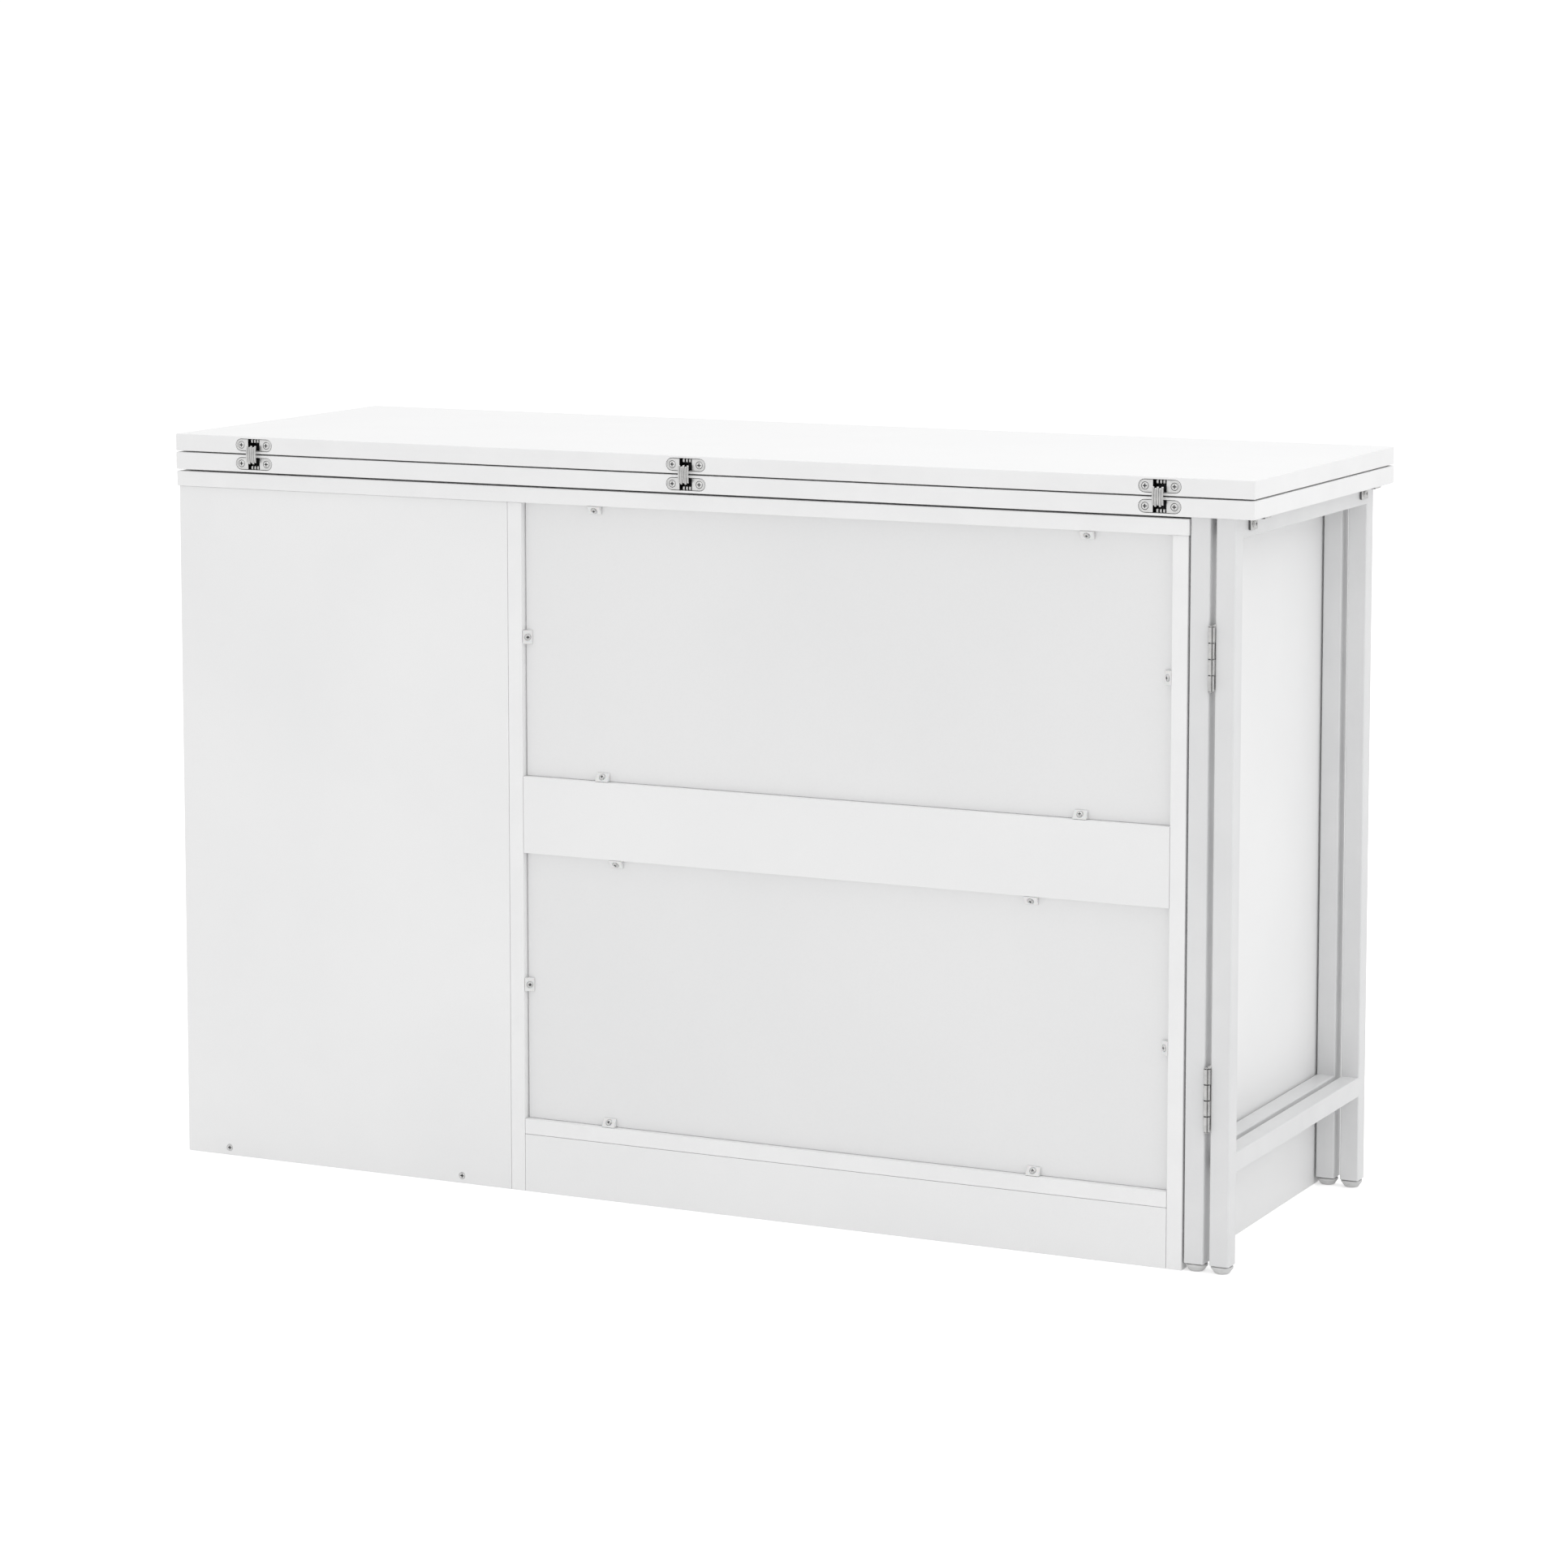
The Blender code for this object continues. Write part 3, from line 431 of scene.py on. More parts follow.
def metal_finish(name, values, **shader_values):
    """Plated metal with its scratches and dull patches."""
    material = bpy.data.materials.new(name)
    material.use_nodes = True
    shader = material.node_tree.nodes["Principled BSDF"]
    shader.inputs["Metallic"].default_value = 1.0
    for label, value in shader_values.items():
        shader.inputs[label.replace("_", " ")].default_value = value
    plating = place_group(material, plated_metal, values)
    for output, entry in (("Colour", "Base Color"), ("Roughness", "Roughness"), ("Normal", "Normal")):
        material.node_tree.links.new(plating.outputs[output], shader.inputs[entry])
    return material


# Painted shade for the inside of the screws' cross recesses.
recess_painted_shade = metal_finish("recess_painted_shade", {
    "Colour": RECESS_SHADE, "Shade": RECESS_DEEPER_SHADE, "Patch Scale": 500.0, "Scratch Scale": 900.0,
    "Scratch Depth": 0.00002, "Roughness Low": 0.45, "Roughness High": 0.60})
zinc = metal_finish("zinc_screw", {
    "Colour": ZINC, "Shade": ZINC_SHADE, "Patch Scale": 260.0, "Scratch Scale": 1600.0,
    "Scratch Depth": 0.00002, "Roughness Low": 0.40, "Roughness High": 0.56})


def outline_prism(shell, points, start, end, place):
    """A closed outline of (a, b) points carried from start to end; place gives x, y, z."""
    rings = [[shell.verts.new(place(a, b, along)) for a, b in points] for along in (start, end)]
    loft(shell, rings, cap=True)


def loft(shell, rings, cap=False, closed=False):
    """Skins rings of vertices; caps both ends, or joins the last ring to the first."""
    following = rings[1:] + rings[:1] if closed else rings[1:]
    for first, second in zip(rings, following):
        for k in range(len(first)):
            n = (k + 1) % len(first)
            shell.faces.new((first[k], first[n], second[n], second[k]))
    if cap:
        shell.faces.new(list(reversed(rings[0])))
        shell.faces.new(rings[-1])


def turned(shell, profile, place, steps=32, closed=False):
    """A lathe-turned solid from (radius, distance along its axis) points."""
    round_trip = [2 * pi * k / steps for k in range(steps)]
    rings = [[shell.verts.new(place(radius * cos(turn), radius * sin(turn), along))
              for turn in round_trip] for radius, along in profile]
    loft(shell, rings, cap=not closed, closed=closed)


def combine(shell, others, operation="DIFFERENCE"):
    """Cuts other bmeshes out of a shell, or welds them on, and gives the new bmesh."""
    stock = []
    for step, part in enumerate([shell, *others]):
        bmesh.ops.recalc_face_normals(part, faces=part.faces)
        mesh = bpy.data.meshes.new(f"stock_{step}")
        part.to_mesh(mesh)
        part.free()
        block = bpy.data.objects.new(f"stock_{step}", mesh)
        bpy.context.scene.collection.objects.link(block)
        stock.append(block)
    for tool in stock[1:]:
        work = stock[0].modifiers.new(tool.name, "BOOLEAN")
        work.operation = operation
        work.solver = "EXACT"
        work.object = tool
    worked = stock[0].evaluated_get(bpy.context.evaluated_depsgraph_get())
    result = bmesh.new()
    result.from_mesh(worked.to_mesh())
    worked.to_mesh_clear()
    for block in stock:
        bpy.data.objects.remove(block, do_unlink=True)
    return result


def facing_rear(x, y, z):
    """Places a turned or carried shape with its axis along +Y, from a point on the rear side."""
    return lambda a, b, along: (x + a, y + along, z + b)


def rounded_rectangle(width, height, corner, steps=5):
    """Outline points, anticlockwise, centred on the origin."""
    points = []
    for quarter, (sx, sy) in enumerate(((1, 1), (-1, 1), (-1, -1), (1, -1))):
        for k in range(steps + 1):
            turn = (quarter + k / steps) * pi / 2
            points.append((sx * (width / 2 - corner) + corner * cos(turn),
                           sy * (height / 2 - corner) + corner * sin(turn)))
    return points


def cross_recess(place, reach, top, depth):
    """The tapered plus-shaped pocket that a driver leaves, opening at distance top."""
    recess = bmesh.new()
    rings = []
    for share, along in ((1.15, top + CROSS_CLEAR), (1.0, top), (0.35, top - depth)):
        arm, web = reach * share, CROSS_WEB * reach * (0.4 + 0.6 * share)
        plus = [(arm, -web), (arm, web), (web, web), (web, arm), (-web, arm), (-web, web), (-arm, web),
                (-arm, -web), (-web, -web), (-web, -arm), (web, -arm), (web, -web)]
        rings.append([recess.verts.new(place(a, b, along)) for a, b in plus])
    loft(recess, rings, cap=True)
    return recess


def cross_screw(name, place, profile, reach, depth, material, body, nodes=()):
    """A turned screw head with a cross recess in its crown, whose walls are painted dark as painted shade.
    """
    head = bmesh.new()
    turned(head, profile, place, 28)
    top = max(along for radius, along in profile)
    head = combine(head, [cross_recess(place, reach, top, depth)])
    axis_foot = Vector(place(0, 0, 0))
    axis = (Vector(place(0, 0, 1)) - axis_foot).normalized()
    # The walls of the cross recess take the painted shade material.
    for side_face in head.faces:
        offset = side_face.calc_center_median() - axis_foot
        height = offset.dot(axis)
        in_recess = (offset - axis * height).length < reach and height < top - 0.15 * depth
        side_face.material_index = 1 if in_recess and height > top - 1.2 * depth else 0
    mark_sharp(head, 35)
    return piece(name, head, (material, recess_painted_shade), body, nodes)


PAN_PROFILE = ((0.55, -1.0), (0.55, -0.1), (1.0, -0.1), (1.0, 0.25), (0.96, 0.45), (0.86, 0.68),
               (0.66, 0.88), (0.40, 0.98), (0.0001, 1.0))
INTO_OPENING = {"top": (0, -1), "mid_upper": (0, 1), "mid_lower": (0, -1), "bottom": (0, 1),
                "divider": (-1, 0), "end": (1, 0)}
for row, (into_x, into_z) in INTO_OPENING.items():
    for number in (1, 2):
        clip = f"clip_{row}_{number}"
        low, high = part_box(clip)
        into = Vector((into_x, 0, into_z))
        along_board = Vector((-into_z, 0, into_x))
        length = abs((high - low).dot(along_board))
        corner = (low + high) / 2 - into * abs((high - low).dot(into)) / 2
        corner.y = low.y

        def in_corner(reach, rise, along):
            return corner + into * reach + Vector((0, rise, 0)) + along_board * along

        wedge = bmesh.new()
        outline_prism(wedge, ((0, 0), (CLIP_REACH, 0), (CLIP_REACH, CLIP_LIP), (CLIP_LIP, CLIP_RISE),
                              (0, CLIP_RISE)), -length / 2, length / 2, in_corner)
        bmesh.ops.recalc_face_normals(wedge, faces=wedge.faces)
        bmesh.ops.bevel(wedge, geom=wedge.edges, offset=CLIP_EDGE, segments=2, profile=0.5,
                        affect="EDGES", clamp_overlap=True)
        slope = (into * (CLIP_RISE - CLIP_LIP) + Vector((0, CLIP_REACH - CLIP_LIP, 0))).normalized()
        across = slope.cross(along_board)
        slope_middle = in_corner((CLIP_REACH + CLIP_LIP) / 2, (CLIP_RISE + CLIP_LIP) / 2, 0)
        seat_middle = slope_middle - slope * SEAT_DEPTH

        def on_slope(a, b, along):
            return seat_middle + along_board * a + across * b + slope * along

        seat = bmesh.new()
        turned(seat, ((SEAT_RADIUS, 0.0), (SEAT_RADIUS + SEAT_FLARE, SEAT_HEIGHT)), on_slope, 28)
        wedge = combine(wedge, [seat])
        mark_sharp(wedge, 35)
        piece(f"{clip}_wedge", wedge, (plastic,), "cabinet", (clip,))
        profile = [(radius * PAN_RADIUS, max(along, -0.2) * PAN_RISE) for radius, along in PAN_PROFILE]
        cross_screw(f"{clip}_screw", on_slope, profile, CLIP_CROSS, CROSS_DEPTH, zinc, "cabinet")


# ---- Tower screws ------------------------------------------------------------
# Two zinc-plated assembly screws near the floor, countersunk through the end unit's
# rear board into its bottom board.
TOWER_HEAD_RADIUS = 0.0033
TOWER_HEAD_RIM = 0.0006
TOWER_SINK = 0.0001
TOWER_POINT_RADIUS = 0.0004
TOWER_POINT_LENGTH = 0.004
TOWER_CONE_DEPTH = 0.003
TOWER_CROSS = 0.0021
TOWER_CROSS_DEPTH = 0.0016
for screw in ("tower_screw_1", "tower_screw_2"):
    low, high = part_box(screw)
    middle = (low + high) / 2
    shank = 0.6 * TOWER_HEAD_RADIUS
    length = high.y - low.y
    profile = ((TOWER_POINT_RADIUS, -length), (shank, -length + TOWER_POINT_LENGTH),
               (shank, -TOWER_CONE_DEPTH), (TOWER_HEAD_RADIUS, -TOWER_HEAD_RIM),
               (TOWER_HEAD_RADIUS, -TOWER_SINK), (0.93 * TOWER_HEAD_RADIUS, 0.0))
    cross_screw(f"{screw}_head", facing_rear(middle.x, high.y - TOWER_SINK, middle.z), profile,
                TOWER_CROSS, TOWER_CROSS_DEPTH, zinc, "cabinet", (screw,))


# ---- Glide strips and guide blocks -------------------------------------------
# Self-adhesive slippery strips along the cabinet top, and two plastic blocks screwed
# between them. The sliding leaf rests on the strips and the blocks run in its groove.
STRIP_EDGE = 0.0004
STRIP_CORNER = 0.006
GUIDE_EDGE = 0.0008
GUIDE_CORNER = 0.0055
GUIDE_SCREW_OFFSET = 0.011
GUIDE_SCREW_RADIUS = 0.0033
GUIDE_SCREW_RISE = 0.002
GUIDE_CROSS = 0.0019
WELL_RADIUS = 0.0036
WELL_MOUTH = 0.0038
WELL_DEPTH = 0.0026
for strip in ("glide_strip_front", "glide_strip_rear"):
    low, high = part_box(strip)
    middle = (low + high) / 2
    size = high - low
    tape = bmesh.new()
    rings = []
    for inset, z in ((0.0, low.z), (0.0, high.z - STRIP_EDGE), (STRIP_EDGE, high.z)):
        outline = rounded_rectangle(size.x - 2 * inset, size.y - 2 * inset, STRIP_CORNER - inset)
        rings.append([tape.verts.new((middle.x + a, middle.y + b, z)) for a, b in outline])
    loft(tape, rings, cap=True)
    mark_sharp(tape)
    piece(f"{strip}_tape", tape, (plastic,), "cabinet", (strip,))
for guide in ("guide_block_1", "guide_block_2"):
    low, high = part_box(guide)
    middle = (low + high) / 2
    size = high - low
    runner = bmesh.new()
    rings = []
    for inset, z in ((0.0, low.z), (0.0, high.z - GUIDE_EDGE), (0.3 * GUIDE_EDGE, high.z - 0.3 * GUIDE_EDGE),
                     (GUIDE_EDGE, high.z)):
        outline = rounded_rectangle(size.x - 2 * inset, size.y - 2 * inset, GUIDE_CORNER - inset)
        rings.append([runner.verts.new((middle.x + a, middle.y + b, z)) for a, b in outline])
    loft(runner, rings, cap=True)
    wells = []
    for side in (-1, 1):
        well = bmesh.new()
        centre_x = middle.x + side * GUIDE_SCREW_OFFSET
        turned(well, ((WELL_RADIUS, high.z - WELL_DEPTH), (WELL_MOUTH, high.z + 0.001)),
               lambda a, b, along: (centre_x + a, middle.y + b, along), 24)
        wells.append(well)
        cross_screw(f"{guide}_screw_{side + 2}",
                    lambda a, b, along: (centre_x + a, middle.y + b, high.z - WELL_DEPTH + along),
                    [(radius * GUIDE_SCREW_RADIUS, max(along, -0.2) * GUIDE_SCREW_RISE)
                     for radius, along in PAN_PROFILE],
                    GUIDE_CROSS, CROSS_DEPTH, zinc, "cabinet")
    runner = combine(runner, wells)
    mark_sharp(runner)
    piece(f"{guide}_moulded", runner, (plastic,), "cabinet", (guide,))


# ---- Table leaves ------------------------------------------------------------
# Two leaves of the same melamine board with a thicker, rounder edge tape. The lower
# slides on the cabinet; the upper lies face down on it and flips over its rear edge.
LEAF_ARRIS = 0.0009
for leaf, body in (("lower_leaf", "table"), ("upper_leaf", "flip_leaf")):
    piece(f"{leaf}_faced", cut_board(leaf, LEAF_ARRIS), (melamine, edge_tape), body,
          (leaf,))


# ---- Link hinge cups ---------------------------------------------------------
# Die-cast nickel-plated bodies let into the rear edge of each leaf, two countersunk
# screws apiece. The oblong plate has a raised rim, and the deep slot in its middle
# holds the roots of the hinge arms.
CUP_SCREW_RISE = 0.0004
RIM_WIDTH = 0.0012
RIM_DEPTH = 0.0006
RIM_GROOVE = 0.0004
RIM_DRAFT = 0.0001
SLOT_WIDTH = 0.0140
SLOT_DEPTH = 0.0118
FINGER_WIDTH = 0.0019
FINGER_X = (-0.0044, -0.0010, 0.0026)
FINGER_NEAR = 0.0115
FINGER_SINK = 0.0009
CUP_SCREW_OFFSET = 0.0150
CUP_SCREW_RADIUS = 0.0034
CUP_SCREW_DEPTH = 0.0030
CUP_SCREW_PROFILE = ((0.0008, -CUP_SCREW_DEPTH), (0.0020, -CUP_SCREW_DEPTH),
                     (CUP_SCREW_RADIUS - 0.0001, -0.0005), (CUP_SCREW_RADIUS, -0.0002),
                     (0.94 * CUP_SCREW_RADIUS, 0.0001), (0.70 * CUP_SCREW_RADIUS, 0.0003),
                     (0.0001, 0.0004))
CUP_CROSS = 0.0021
CUP_CROSS_DEPTH = 0.0014
NICKEL = (0.80, 0.795, 0.785, 1.0)
NICKEL_SHADE = (0.66, 0.66, 0.655, 1.0)
SATIN = (0.97, 0.968, 0.962, 1.0)
SATIN_SHADE = (0.90, 0.90, 0.896, 1.0)
SINK_PAST_HEAD = 0.0005
# Near-black painted into the cups' slots and screw sinks: painted shade for the deep hollows.
POCKET_SHADE = (0.045, 0.045, 0.048, 1.0)
POCKET_DEEPER_SHADE = (0.02, 0.02, 0.022, 1.0)

nickel = metal_finish("bright_nickel", {
    "Colour": NICKEL, "Shade": NICKEL_SHADE, "Patch Scale": 180.0, "Scratch Scale": 1200.0,
    "Scratch Depth": 0.00002, "Roughness Low": 0.20, "Roughness High": 0.36})
satin_nickel = metal_finish("satin_casting", {
    "Colour": SATIN, "Shade": SATIN_SHADE, "Patch Scale": 220.0, "Scratch Scale": 1400.0,
    "Scratch Depth": 0.00002, "Roughness Low": 0.26, "Roughness High": 0.40})
# Near-black painted shade for the cup slots and screw sinks.
pocket_shade_paint = metal_finish("painted_pocket_shade", {
    "Colour": POCKET_SHADE, "Shade": POCKET_DEEPER_SHADE, "Patch Scale": 400.0, "Scratch Scale": 900.0,
    "Scratch Depth": 0.00004, "Roughness Low": 0.40, "Roughness High": 0.60}, Specular_IOR_Level=0.3)


def stadium(length, height, steps=14):
    """Outline points of an oblong with round ends, centred on the origin."""
    radius = height / 2
    reach = length / 2 - radius
    return [(side * reach + side * radius * sin(pi * k / steps), side * radius * cos(pi * k / steps))
            for side in (1, -1) for k in range(steps + 1)]


hinge_axis = {}
for place in ("tower", "middle", "leg"):
    low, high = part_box(f"hinge_link_{place}")
    hinge_axis[place] = ((low.x + high.x) / 2, (low.z + high.z) / 2)
for place in ("tower", "middle", "leg"):
    for leaf, body in (("lower", "table"), ("upper", "flip_leaf")):
        cup = f"{leaf}_hinge_cup_{place}"
        low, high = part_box(cup)
        middle = (low + high) / 2
        face = high.y - CUP_SCREW_RISE
        length, height = high.x - low.x, high.z - low.z
        outward = 1 if leaf == "upper" else -1
        axis_z = hinge_axis[place][1]
        casting = bmesh.new()
        rings = []
        for inset, y in ((0.0, low.y), (0.0, face - 0.0012), (0.0003, face - 0.0003), (0.0005, face),
                         (RIM_WIDTH, face), (RIM_WIDTH + RIM_DRAFT, face - RIM_DEPTH),
                         (RIM_WIDTH + RIM_GROOVE, face - RIM_DEPTH),
                         (RIM_WIDTH + RIM_GROOVE + RIM_DRAFT, face - RIM_DRAFT)):
            rings.append([casting.verts.new((middle.x + a, y, middle.z + b))
                          for a, b in stadium(length - 2 * inset, height - 2 * inset)])
        loft(casting, rings, cap=True)
        slot = bmesh.new()
        outline_prism(slot, rounded_rectangle(SLOT_WIDTH, height + 0.004, 0.0005, 2),
                      face - SLOT_DEPTH, face + 0.001, facing_rear(middle.x, 0.0, middle.z))
        cuts = [slot]
        for side in (-1, 1):
            sink = bmesh.new()
            turned(sink, ((0.0022, face - 0.0035), (CUP_SCREW_RADIUS + 0.0004, face - 0.0011),
                          (CUP_SCREW_RADIUS + 0.0005, face + 0.001)),
                   facing_rear(middle.x + side * CUP_SCREW_OFFSET, 0.0, middle.z), 28)
            cuts.append(sink)
        casting = combine(casting, cuts)
        # Faces inside the slot and in the screw sinks get the near-black painted shade.
        for side_face in casting.faces:
            centre = side_face.calc_center_median()
            inside = abs(centre.x - middle.x) < SLOT_WIDTH / 2 + 0.0001 and centre.y < face - 0.001
            from_screw = hypot(abs(centre.x - middle.x) - CUP_SCREW_OFFSET, centre.z - middle.z)
            sunk = from_screw < CUP_SCREW_RADIUS + SINK_PAST_HEAD and centre.y < face - 0.0003
            side_face.material_index = 1 if inside or sunk else 0
        mark_sharp(casting, 40)
        piece(f"{cup}_casting", casting, (satin_nickel, pocket_shade_paint), body, (cup,))

        roots = bmesh.new()
        near = axis_z + outward * FINGER_NEAR
        far = middle.z + outward * (height / 2 - 0.0001)
        bottom, top = min(near, far), max(near, far)
        slot_floor = face - SLOT_DEPTH + 0.0002
        for x in FINGER_X:
            nose = [(slot_floor, bottom), (face - 0.0028, bottom), (face - 0.0013, bottom + 0.0008),
                    (face - FINGER_SINK, bottom + 0.0020), (face - FINGER_SINK, top - FINGER_SINK),
                    (face - 2 * FINGER_SINK, top), (slot_floor, top)]
            if outward < 0:
                nose = [(y, bottom + top - z) for y, z in nose]
            outline_prism(roots, nose, middle.x + x - FINGER_WIDTH / 2, middle.x + x + FINGER_WIDTH / 2,
                          lambda a, b, along: (along, a, b))
        bmesh.ops.recalc_face_normals(roots, faces=roots.faces)
        mark_sharp(roots, 30)
        piece(f"{cup}_arm_roots", roots, (nickel,), body)
        for side in (-1, 1):
            cross_screw(f"{cup}_screw_{side + 2}",
                        facing_rear(middle.x + side * CUP_SCREW_OFFSET, face, middle.z), CUP_SCREW_PROFILE,
                        CUP_CROSS, CUP_CROSS_DEPTH, satin_nickel, body)


# ---- Hinge links -------------------------------------------------------------
# A bundle of five bowed steel arms on one cross pin bridges each pair of cups. The
# arms take turns in reaching up and down, and the bundle folds by half the leaf's turn.
ARM_COUNT = 5
ARM_GAP = 0.00022
ARM_ARRIS = 0.00022
SHORT_END = 0.86
CROSS_PIN_RADIUS = 0.0006
for place in ("tower", "middle", "leg"):
    link = f"hinge_link_{place}"
    low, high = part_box(link)
    middle = (low + high) / 2
    reach = (high.z - low.z) / 2
    pitch = (high.x - low.x + ARM_GAP) / ARM_COUNT
    deep = high.y - low.y
    bundle = bmesh.new()
    for k in range(ARM_COUNT):
        up, down = (1.0, SHORT_END) if k % 2 == 0 else (SHORT_END, 1.0)
        bow = []
        for share in (1.0, 0.93, 0.75, 0.5, 0.25, 0.0, -0.25, -0.5, -0.75, -0.93, -1.0):
            z = share * reach * (up if share > 0 else down)
            crown = high.y - deep * 0.50 * share * share
            bow.append((crown if abs(share) < 1 else crown - 0.0005, middle.z + z))
        back = [(low.y + (0.0 if abs(share) > 0.3 else 0.0003),
                 middle.z + share * reach * (up if share > 0 else down))
                for share in (-1.0, -0.9, -0.3, 0.3, 0.9, 1.0)]
        x = low.x + k * pitch
        outline_prism(bundle, bow + back, x, x + pitch - ARM_GAP, lambda a, b, along: (along, a, b))
    bmesh.ops.recalc_face_normals(bundle, faces=bundle.faces)
    arrises = [edge for edge in bundle.edges if edge.calc_face_angle(0) > radians(60)]
    bmesh.ops.bevel(bundle, geom=arrises, offset=ARM_ARRIS, segments=2, profile=0.5, affect="EDGES",
                    clamp_overlap=True)
    pin_middle = (low.y + high.y) / 2
    turned(bundle, ((CROSS_PIN_RADIUS, low.x + 0.0001), (CROSS_PIN_RADIUS, high.x - 0.0001)),
           lambda a, b, along: (along, pin_middle + a, middle.z + b), 12)
    mark_sharp(bundle, 60)
    piece(f"{link}_arms", bundle, (nickel,), "hinge_links", (link,))


# ---- Leg frames --------------------------------------------------------------
# Two welded frames of square steel tube, powder coated white. One is screwed under the
# lower leaf; the other swings out from it like a gate. The welds are ground flat before
# coating, so each frame reads as one piece.
TUBE_WALL = 0.0015
TUBE_CORNER = 0.0018
RAIL_Z = 0.097
RAIL_INSET = 0.0001
RAIL_INTO_LEG = 0.003
BORE_DEPTH = 0.040
PAINT_WHITE = (0.752, 0.754, 0.757, 1.0)
PAINT_SHADE = (0.725, 0.727, 0.732, 1.0)

powder_coat = white_finish(
    "white_powder_coat",
    {"Colour": PAINT_WHITE, "Shade": PAINT_SHADE, "Cloud Scale": 18.0, "Fleck Scale": 900.0,
     "Roughness Low": 0.30, "Roughness High": 0.42},
    {"Grain Scale": 1100.0, "Wave Scale": 420.0, "Wave Share": 0.6, "Depth": 0.00006}, IOR=1.50)


def tube(along_y, low, high, open_end):
    """A square tube with round corners, from corner low to corner high."""
    centre = (low + high) / 2
    size = high - low
    section = rounded_rectangle(size.x, size.z if along_y else size.y, TUBE_CORNER)
    bar = bmesh.new()
    ends = (low.y, high.y) if along_y else (low.z, high.z)
    place = (lambda a, b, along: (centre.x + a, along, centre.z + b)) if along_y else (
        lambda a, b, along: (centre.x + a, centre.y + b, along))
    outline_prism(bar, section, *ends, place)
    bmesh.ops.recalc_face_normals(bar, faces=bar.faces)
    if open_end:
        bore = bmesh.new()
        section = rounded_rectangle(size.x - 2 * TUBE_WALL, size.y - 2 * TUBE_WALL, TUBE_CORNER / 2)
        outline_prism(bore, section, low.z - 0.001, low.z + BORE_DEPTH, place)
        bar = combine(bar, [bore])
    return bar


for leg_frame, body in (("fixed_frame", "table"), ("gate_frame", "gate")):
    low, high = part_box(leg_frame)
    width = high.x - low.x
    leg_rear = tube(False, Vector((low.x, high.y - width, low.z)), high, True)
    leg_front = tube(False, low.copy(), Vector((high.x, low.y + width, high.z)), True)
    rails = []
    for z in (high.z - width, RAIL_Z):
        rails.append(tube(True, Vector((low.x + RAIL_INSET, low.y + width - RAIL_INTO_LEG, z)),
                          Vector((high.x - RAIL_INSET, high.y - width + RAIL_INTO_LEG, z + width)), False))
    welded = combine(leg_rear, [leg_front, *rails], "UNION")
    mark_sharp(welded, 35)
    piece(f"{leg_frame}_tube", welded, (powder_coat,), body, (leg_frame,))


# ---- Feet --------------------------------------------------------------------
# Moulded glides pushed into the open ends of the legs. A round flange covers the tube's
# end and the underside is coned in, so the foot slides without catching.
NECK = 0.0010
FLANGE_THICK = 0.0030
GLIDE_WHITE = (0.660, 0.660, 0.657, 1.0)
GLIDE_SHADE = (0.600, 0.600, 0.596, 1.0)
glide_plastic = white_finish(
    "glide_plastic",
    {"Colour": GLIDE_WHITE, "Shade": GLIDE_SHADE, "Cloud Scale": 70.0, "Fleck Scale": 1300.0,
     "Roughness Low": 0.38, "Roughness High": 0.52},
    {"Grain Scale": 2200.0, "Wave Scale": 260.0, "Wave Share": 0.4, "Depth": 0.00004}, IOR=1.50)
for leg_frame, body in (("fixed_frame", "table"), ("gate_frame", "gate")):
    for end in ("rear", "front"):
        foot = f"{leg_frame}_foot_{end}"
        low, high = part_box(foot)
        middle = (low + high) / 2
        flange = (high.x - low.x) / 2
        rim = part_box(leg_frame)[0].z - low.z - NECK
        plug_top = high.z - low.z
        profile = ((0.0001, 0.0004), (0.50 * flange, 0.0), (0.62 * flange, 0.0002), (0.70 * flange, 0.0010),
                   (0.90 * flange, rim - FLANGE_THICK), (0.98 * flange, rim - 0.0022),
                   (flange, rim - 0.0014), (flange, rim - 0.0005), (0.97 * flange, rim - 0.0001),
                   (0.92 * flange, rim), (0.76 * flange, rim), (0.76 * flange, plug_top - 0.001),
                   (0.68 * flange, plug_top))
        glide = bmesh.new()
        turned(glide, profile, lambda a, b, along: (middle.x + a, middle.y + b, low.z + along), 40)
        bmesh.ops.recalc_face_normals(glide, faces=glide.faces)
        mark_sharp(glide, 60)
        piece(f"{foot}_glide", glide, (glide_plastic,), body, (foot,))


# ---- Butt hinges -------------------------------------------------------------
# Pressed steel leaves, nickel plated, screwed to the facing sides of the two frames.
# Their knuckles are rolled round a loose pin that has a small crown at each end.
SHEET_METAL = 0.0012
PLATE_EDGE = 0.0002
PLATE_CORNER = 0.0012
PIN_CROWNS = 0.0022
BARREL_GAP = 0.0005
TAB_OVERLAP = 0.0015
BUTT_SCREW_Z = (0.010, 0.031, 0.052)
BUTT_SCREW_STAGGER = 0.003
BUTT_SCREW_RADIUS = 0.0027
BUTT_SCREW_PROFILE = ((0.0006, -0.0010), (BUTT_SCREW_RADIUS, -0.0002), (BUTT_SCREW_RADIUS, 0.0001),
                      (0.8 * BUTT_SCREW_RADIUS, 0.0004), (0.0001, 0.0005))
BUTT_CROSS = 0.0017
BUTT_CROSS_DEPTH = 0.0009
KNUCKLE_COUNT = 4
KNUCKLE_GAP = 0.0004
# Dark grey painted on the knuckle ends and the bracket ends: painted shade for the gaps between knuckles and
# the shadow beside each bracket.
EDGE_SHADE = (0.20, 0.20, 0.205, 1.0)
EDGE_DEEPER_SHADE = (0.12, 0.12, 0.122, 1.0)
edge_painted_shade = metal_finish("edge_painted_shade", {
    "Colour": EDGE_SHADE, "Shade": EDGE_DEEPER_SHADE, "Patch Scale": 300.0, "Scratch Scale": 1400.0,
    "Scratch Depth": 0.00003, "Roughness Low": 0.35, "Roughness High": 0.55})
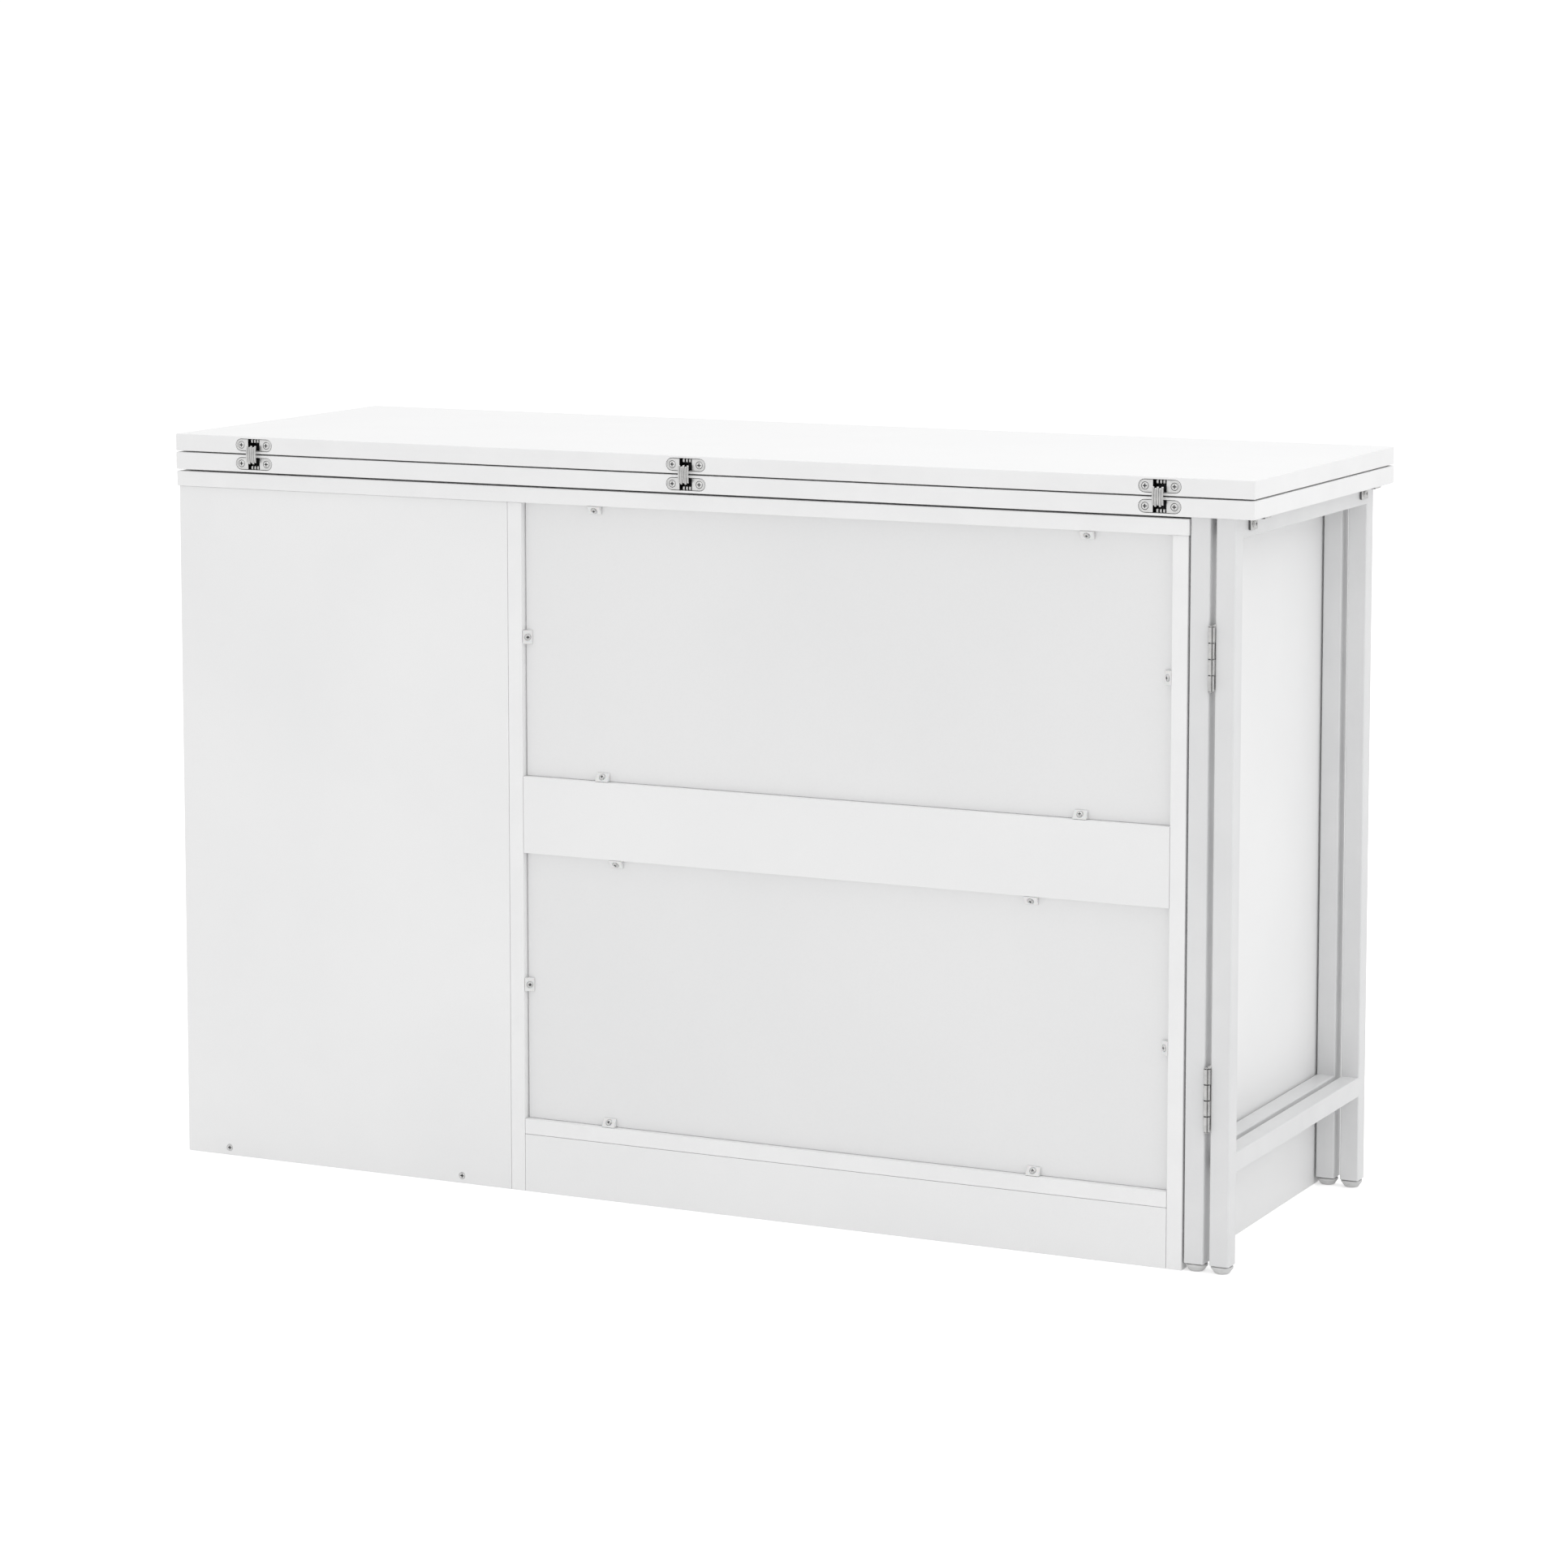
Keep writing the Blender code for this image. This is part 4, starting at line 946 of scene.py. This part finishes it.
for place in ("lower", "upper"):
    pin_low, pin_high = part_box(f"butt_hinge_pin_{place}")
    pin_x, pin_y = (pin_low.x + pin_high.x) / 2, (pin_low.y + pin_high.y) / 2
    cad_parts[f"butt_hinge_pin_{place}"].data.materials.clear()
    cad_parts[f"butt_hinge_pin_{place}"].data.materials.append(nickel)
    for half, body, turns in (("fixed", "table", (0, 2)), ("moving", "gate", (1, 3))):
        node = f"butt_hinge_{half}_leaf_{place}"
        low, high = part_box(node)
        barrel = high.y - pin_y
        side = 1 if half == "fixed" else -1
        face = high.x if half == "fixed" else low.x
        plate_end = pin_y - barrel - BARREL_GAP
        plate_y, plate_z = (low.y + plate_end) / 2, (pin_low.z + pin_high.z) / 2
        plate_height = pin_high.z - pin_low.z - PIN_CROWNS
        x0, x1 = sorted((face, face - side * SHEET_METAL))
        plate = bmesh.new()
        outline_prism(plate, rounded_rectangle(plate_end - low.y, plate_height, PLATE_CORNER, 3),
                      x0, x1, lambda a, b, along: (along, plate_y + a, plate_z + b))
        height = plate_height / KNUCKLE_COUNT
        base = plate_z - 2 * height
        rolled = []
        for k in turns:
            bottom, top = base + k * height + KNUCKLE_GAP, base + (k + 1) * height - KNUCKLE_GAP
            tab = bmesh.new()
            tab_start = plate_end - TAB_OVERLAP
            outline_prism(tab, ((x0, tab_start), (x1, tab_start), (x1, pin_y), (x0, pin_y)),
                          bottom + 0.0001, top - 0.0001, lambda a, b, along: (a, b, along))
            knuckle = bmesh.new()
            inner = barrel - SHEET_METAL
            ring = ((inner, bottom), (barrel - PLATE_EDGE, bottom), (barrel, bottom + PLATE_EDGE),
                    (barrel, top - PLATE_EDGE), (barrel - PLATE_EDGE, top), (inner, top))
            turned(knuckle, ring, lambda a, b, along: (pin_x + a, pin_y + b, along), 36, closed=True)
            rolled += [tab, knuckle]
        plate = combine(plate, rolled, "UNION")
        # The knuckles' end faces get the dark painted shade, so the gaps between knuckles read as shadow.
        for side_face in plate.faces:
            on_barrel = side_face.calc_center_median().y > plate_end
            side_face.material_index = 1 if on_barrel and abs(side_face.normal.z) > 0.7 else 0
        mark_sharp(plate, 35)
        piece(f"{node}_pressed", plate, (nickel, edge_painted_shade), body, (node,))
        for number, height_up in enumerate(BUTT_SCREW_Z):
            centre_y = plate_y + (BUTT_SCREW_STAGGER if number == 1 else -BUTT_SCREW_STAGGER)
            start = face - side * SHEET_METAL
            cross_screw(f"{node}_screw_{number + 1}",
                        lambda a, b, along: (start - side * along, centre_y + a, base + height_up + b),
                        BUTT_SCREW_PROFILE, BUTT_CROSS, BUTT_CROSS_DEPTH, nickel, body)


# ---- Gate brackets -----------------------------------------------------------
# Folded steel angles, nickel plated, on the gate's top rail. One leg lies under the
# table edge and the other hangs down the rail, held by a single pan-head screw.
BRACKET_THICK = 0.0020
BRACKET_BEND = 0.00064
BRACKET_CORNER = 0.0018
BRACKET_ARRIS = 0.0002
BRACKET_SCREW_RADIUS = 0.0040
BRACKET_SCREW_RISE = 0.0022
BRACKET_CROSS = 0.0022
BRACKET_CROSS_DEPTH = 0.0012
for end in ("rear", "front"):
    node = f"gate_bracket_{end}"
    low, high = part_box(node)
    middle_y = (low.y + high.y) / 2
    wall = high.x - BRACKET_THICK
    under = high.z - BRACKET_THICK
    outline = [(high.x, high.z), (high.x, low.z), (wall, low.z)]
    for k in range(5):
        turn = pi / 2 * k / 4
        outline.append((wall - BRACKET_BEND * (1 - cos(turn)), under - BRACKET_BEND * (1 - sin(turn))))
    outline += [(low.x, under), (low.x, high.z)]
    angle = bmesh.new()
    outline_prism(angle, outline, low.y, high.y, lambda a, b, along: (a, along, b))
    bmesh.ops.recalc_face_normals(angle, faces=angle.faces)
    corners = [edge for edge in angle.edges
               if abs((edge.verts[0].co - edge.verts[1].co).length - BRACKET_THICK) < 0.0001
               and len({round(vert.co.y, 6) for vert in edge.verts}) == 1]
    bmesh.ops.bevel(angle, geom=corners, offset=BRACKET_CORNER, segments=4, profile=0.5, affect="EDGES",
                    clamp_overlap=True)
    arrises = [edge for edge in angle.edges if edge.calc_face_angle(0) > radians(60)]
    bmesh.ops.bevel(angle, geom=arrises, offset=BRACKET_ARRIS, segments=2, profile=0.5, affect="EDGES",
                    clamp_overlap=True)
    # The bracket's two cut ends get the dark painted shade, standing in for its shadow on the rail.
    for side_face in angle.faces:
        side_face.material_index = 1 if abs(side_face.normal.y) > 0.5 else 0
    mark_sharp(angle, 50)
    piece(f"{node}_angle", angle, (nickel, edge_painted_shade), "gate", (node,))
    centre_z = (low.z + under) / 2
    profile = [(radius * BRACKET_SCREW_RADIUS, max(along, -0.3) * BRACKET_SCREW_RISE)
               for radius, along in PAN_PROFILE]
    cross_screw(f"{node}_screw", lambda a, b, along: (wall - along, middle_y + a, centre_z + b), profile,
                BRACKET_CROSS, BRACKET_CROSS_DEPTH, nickel, "gate")
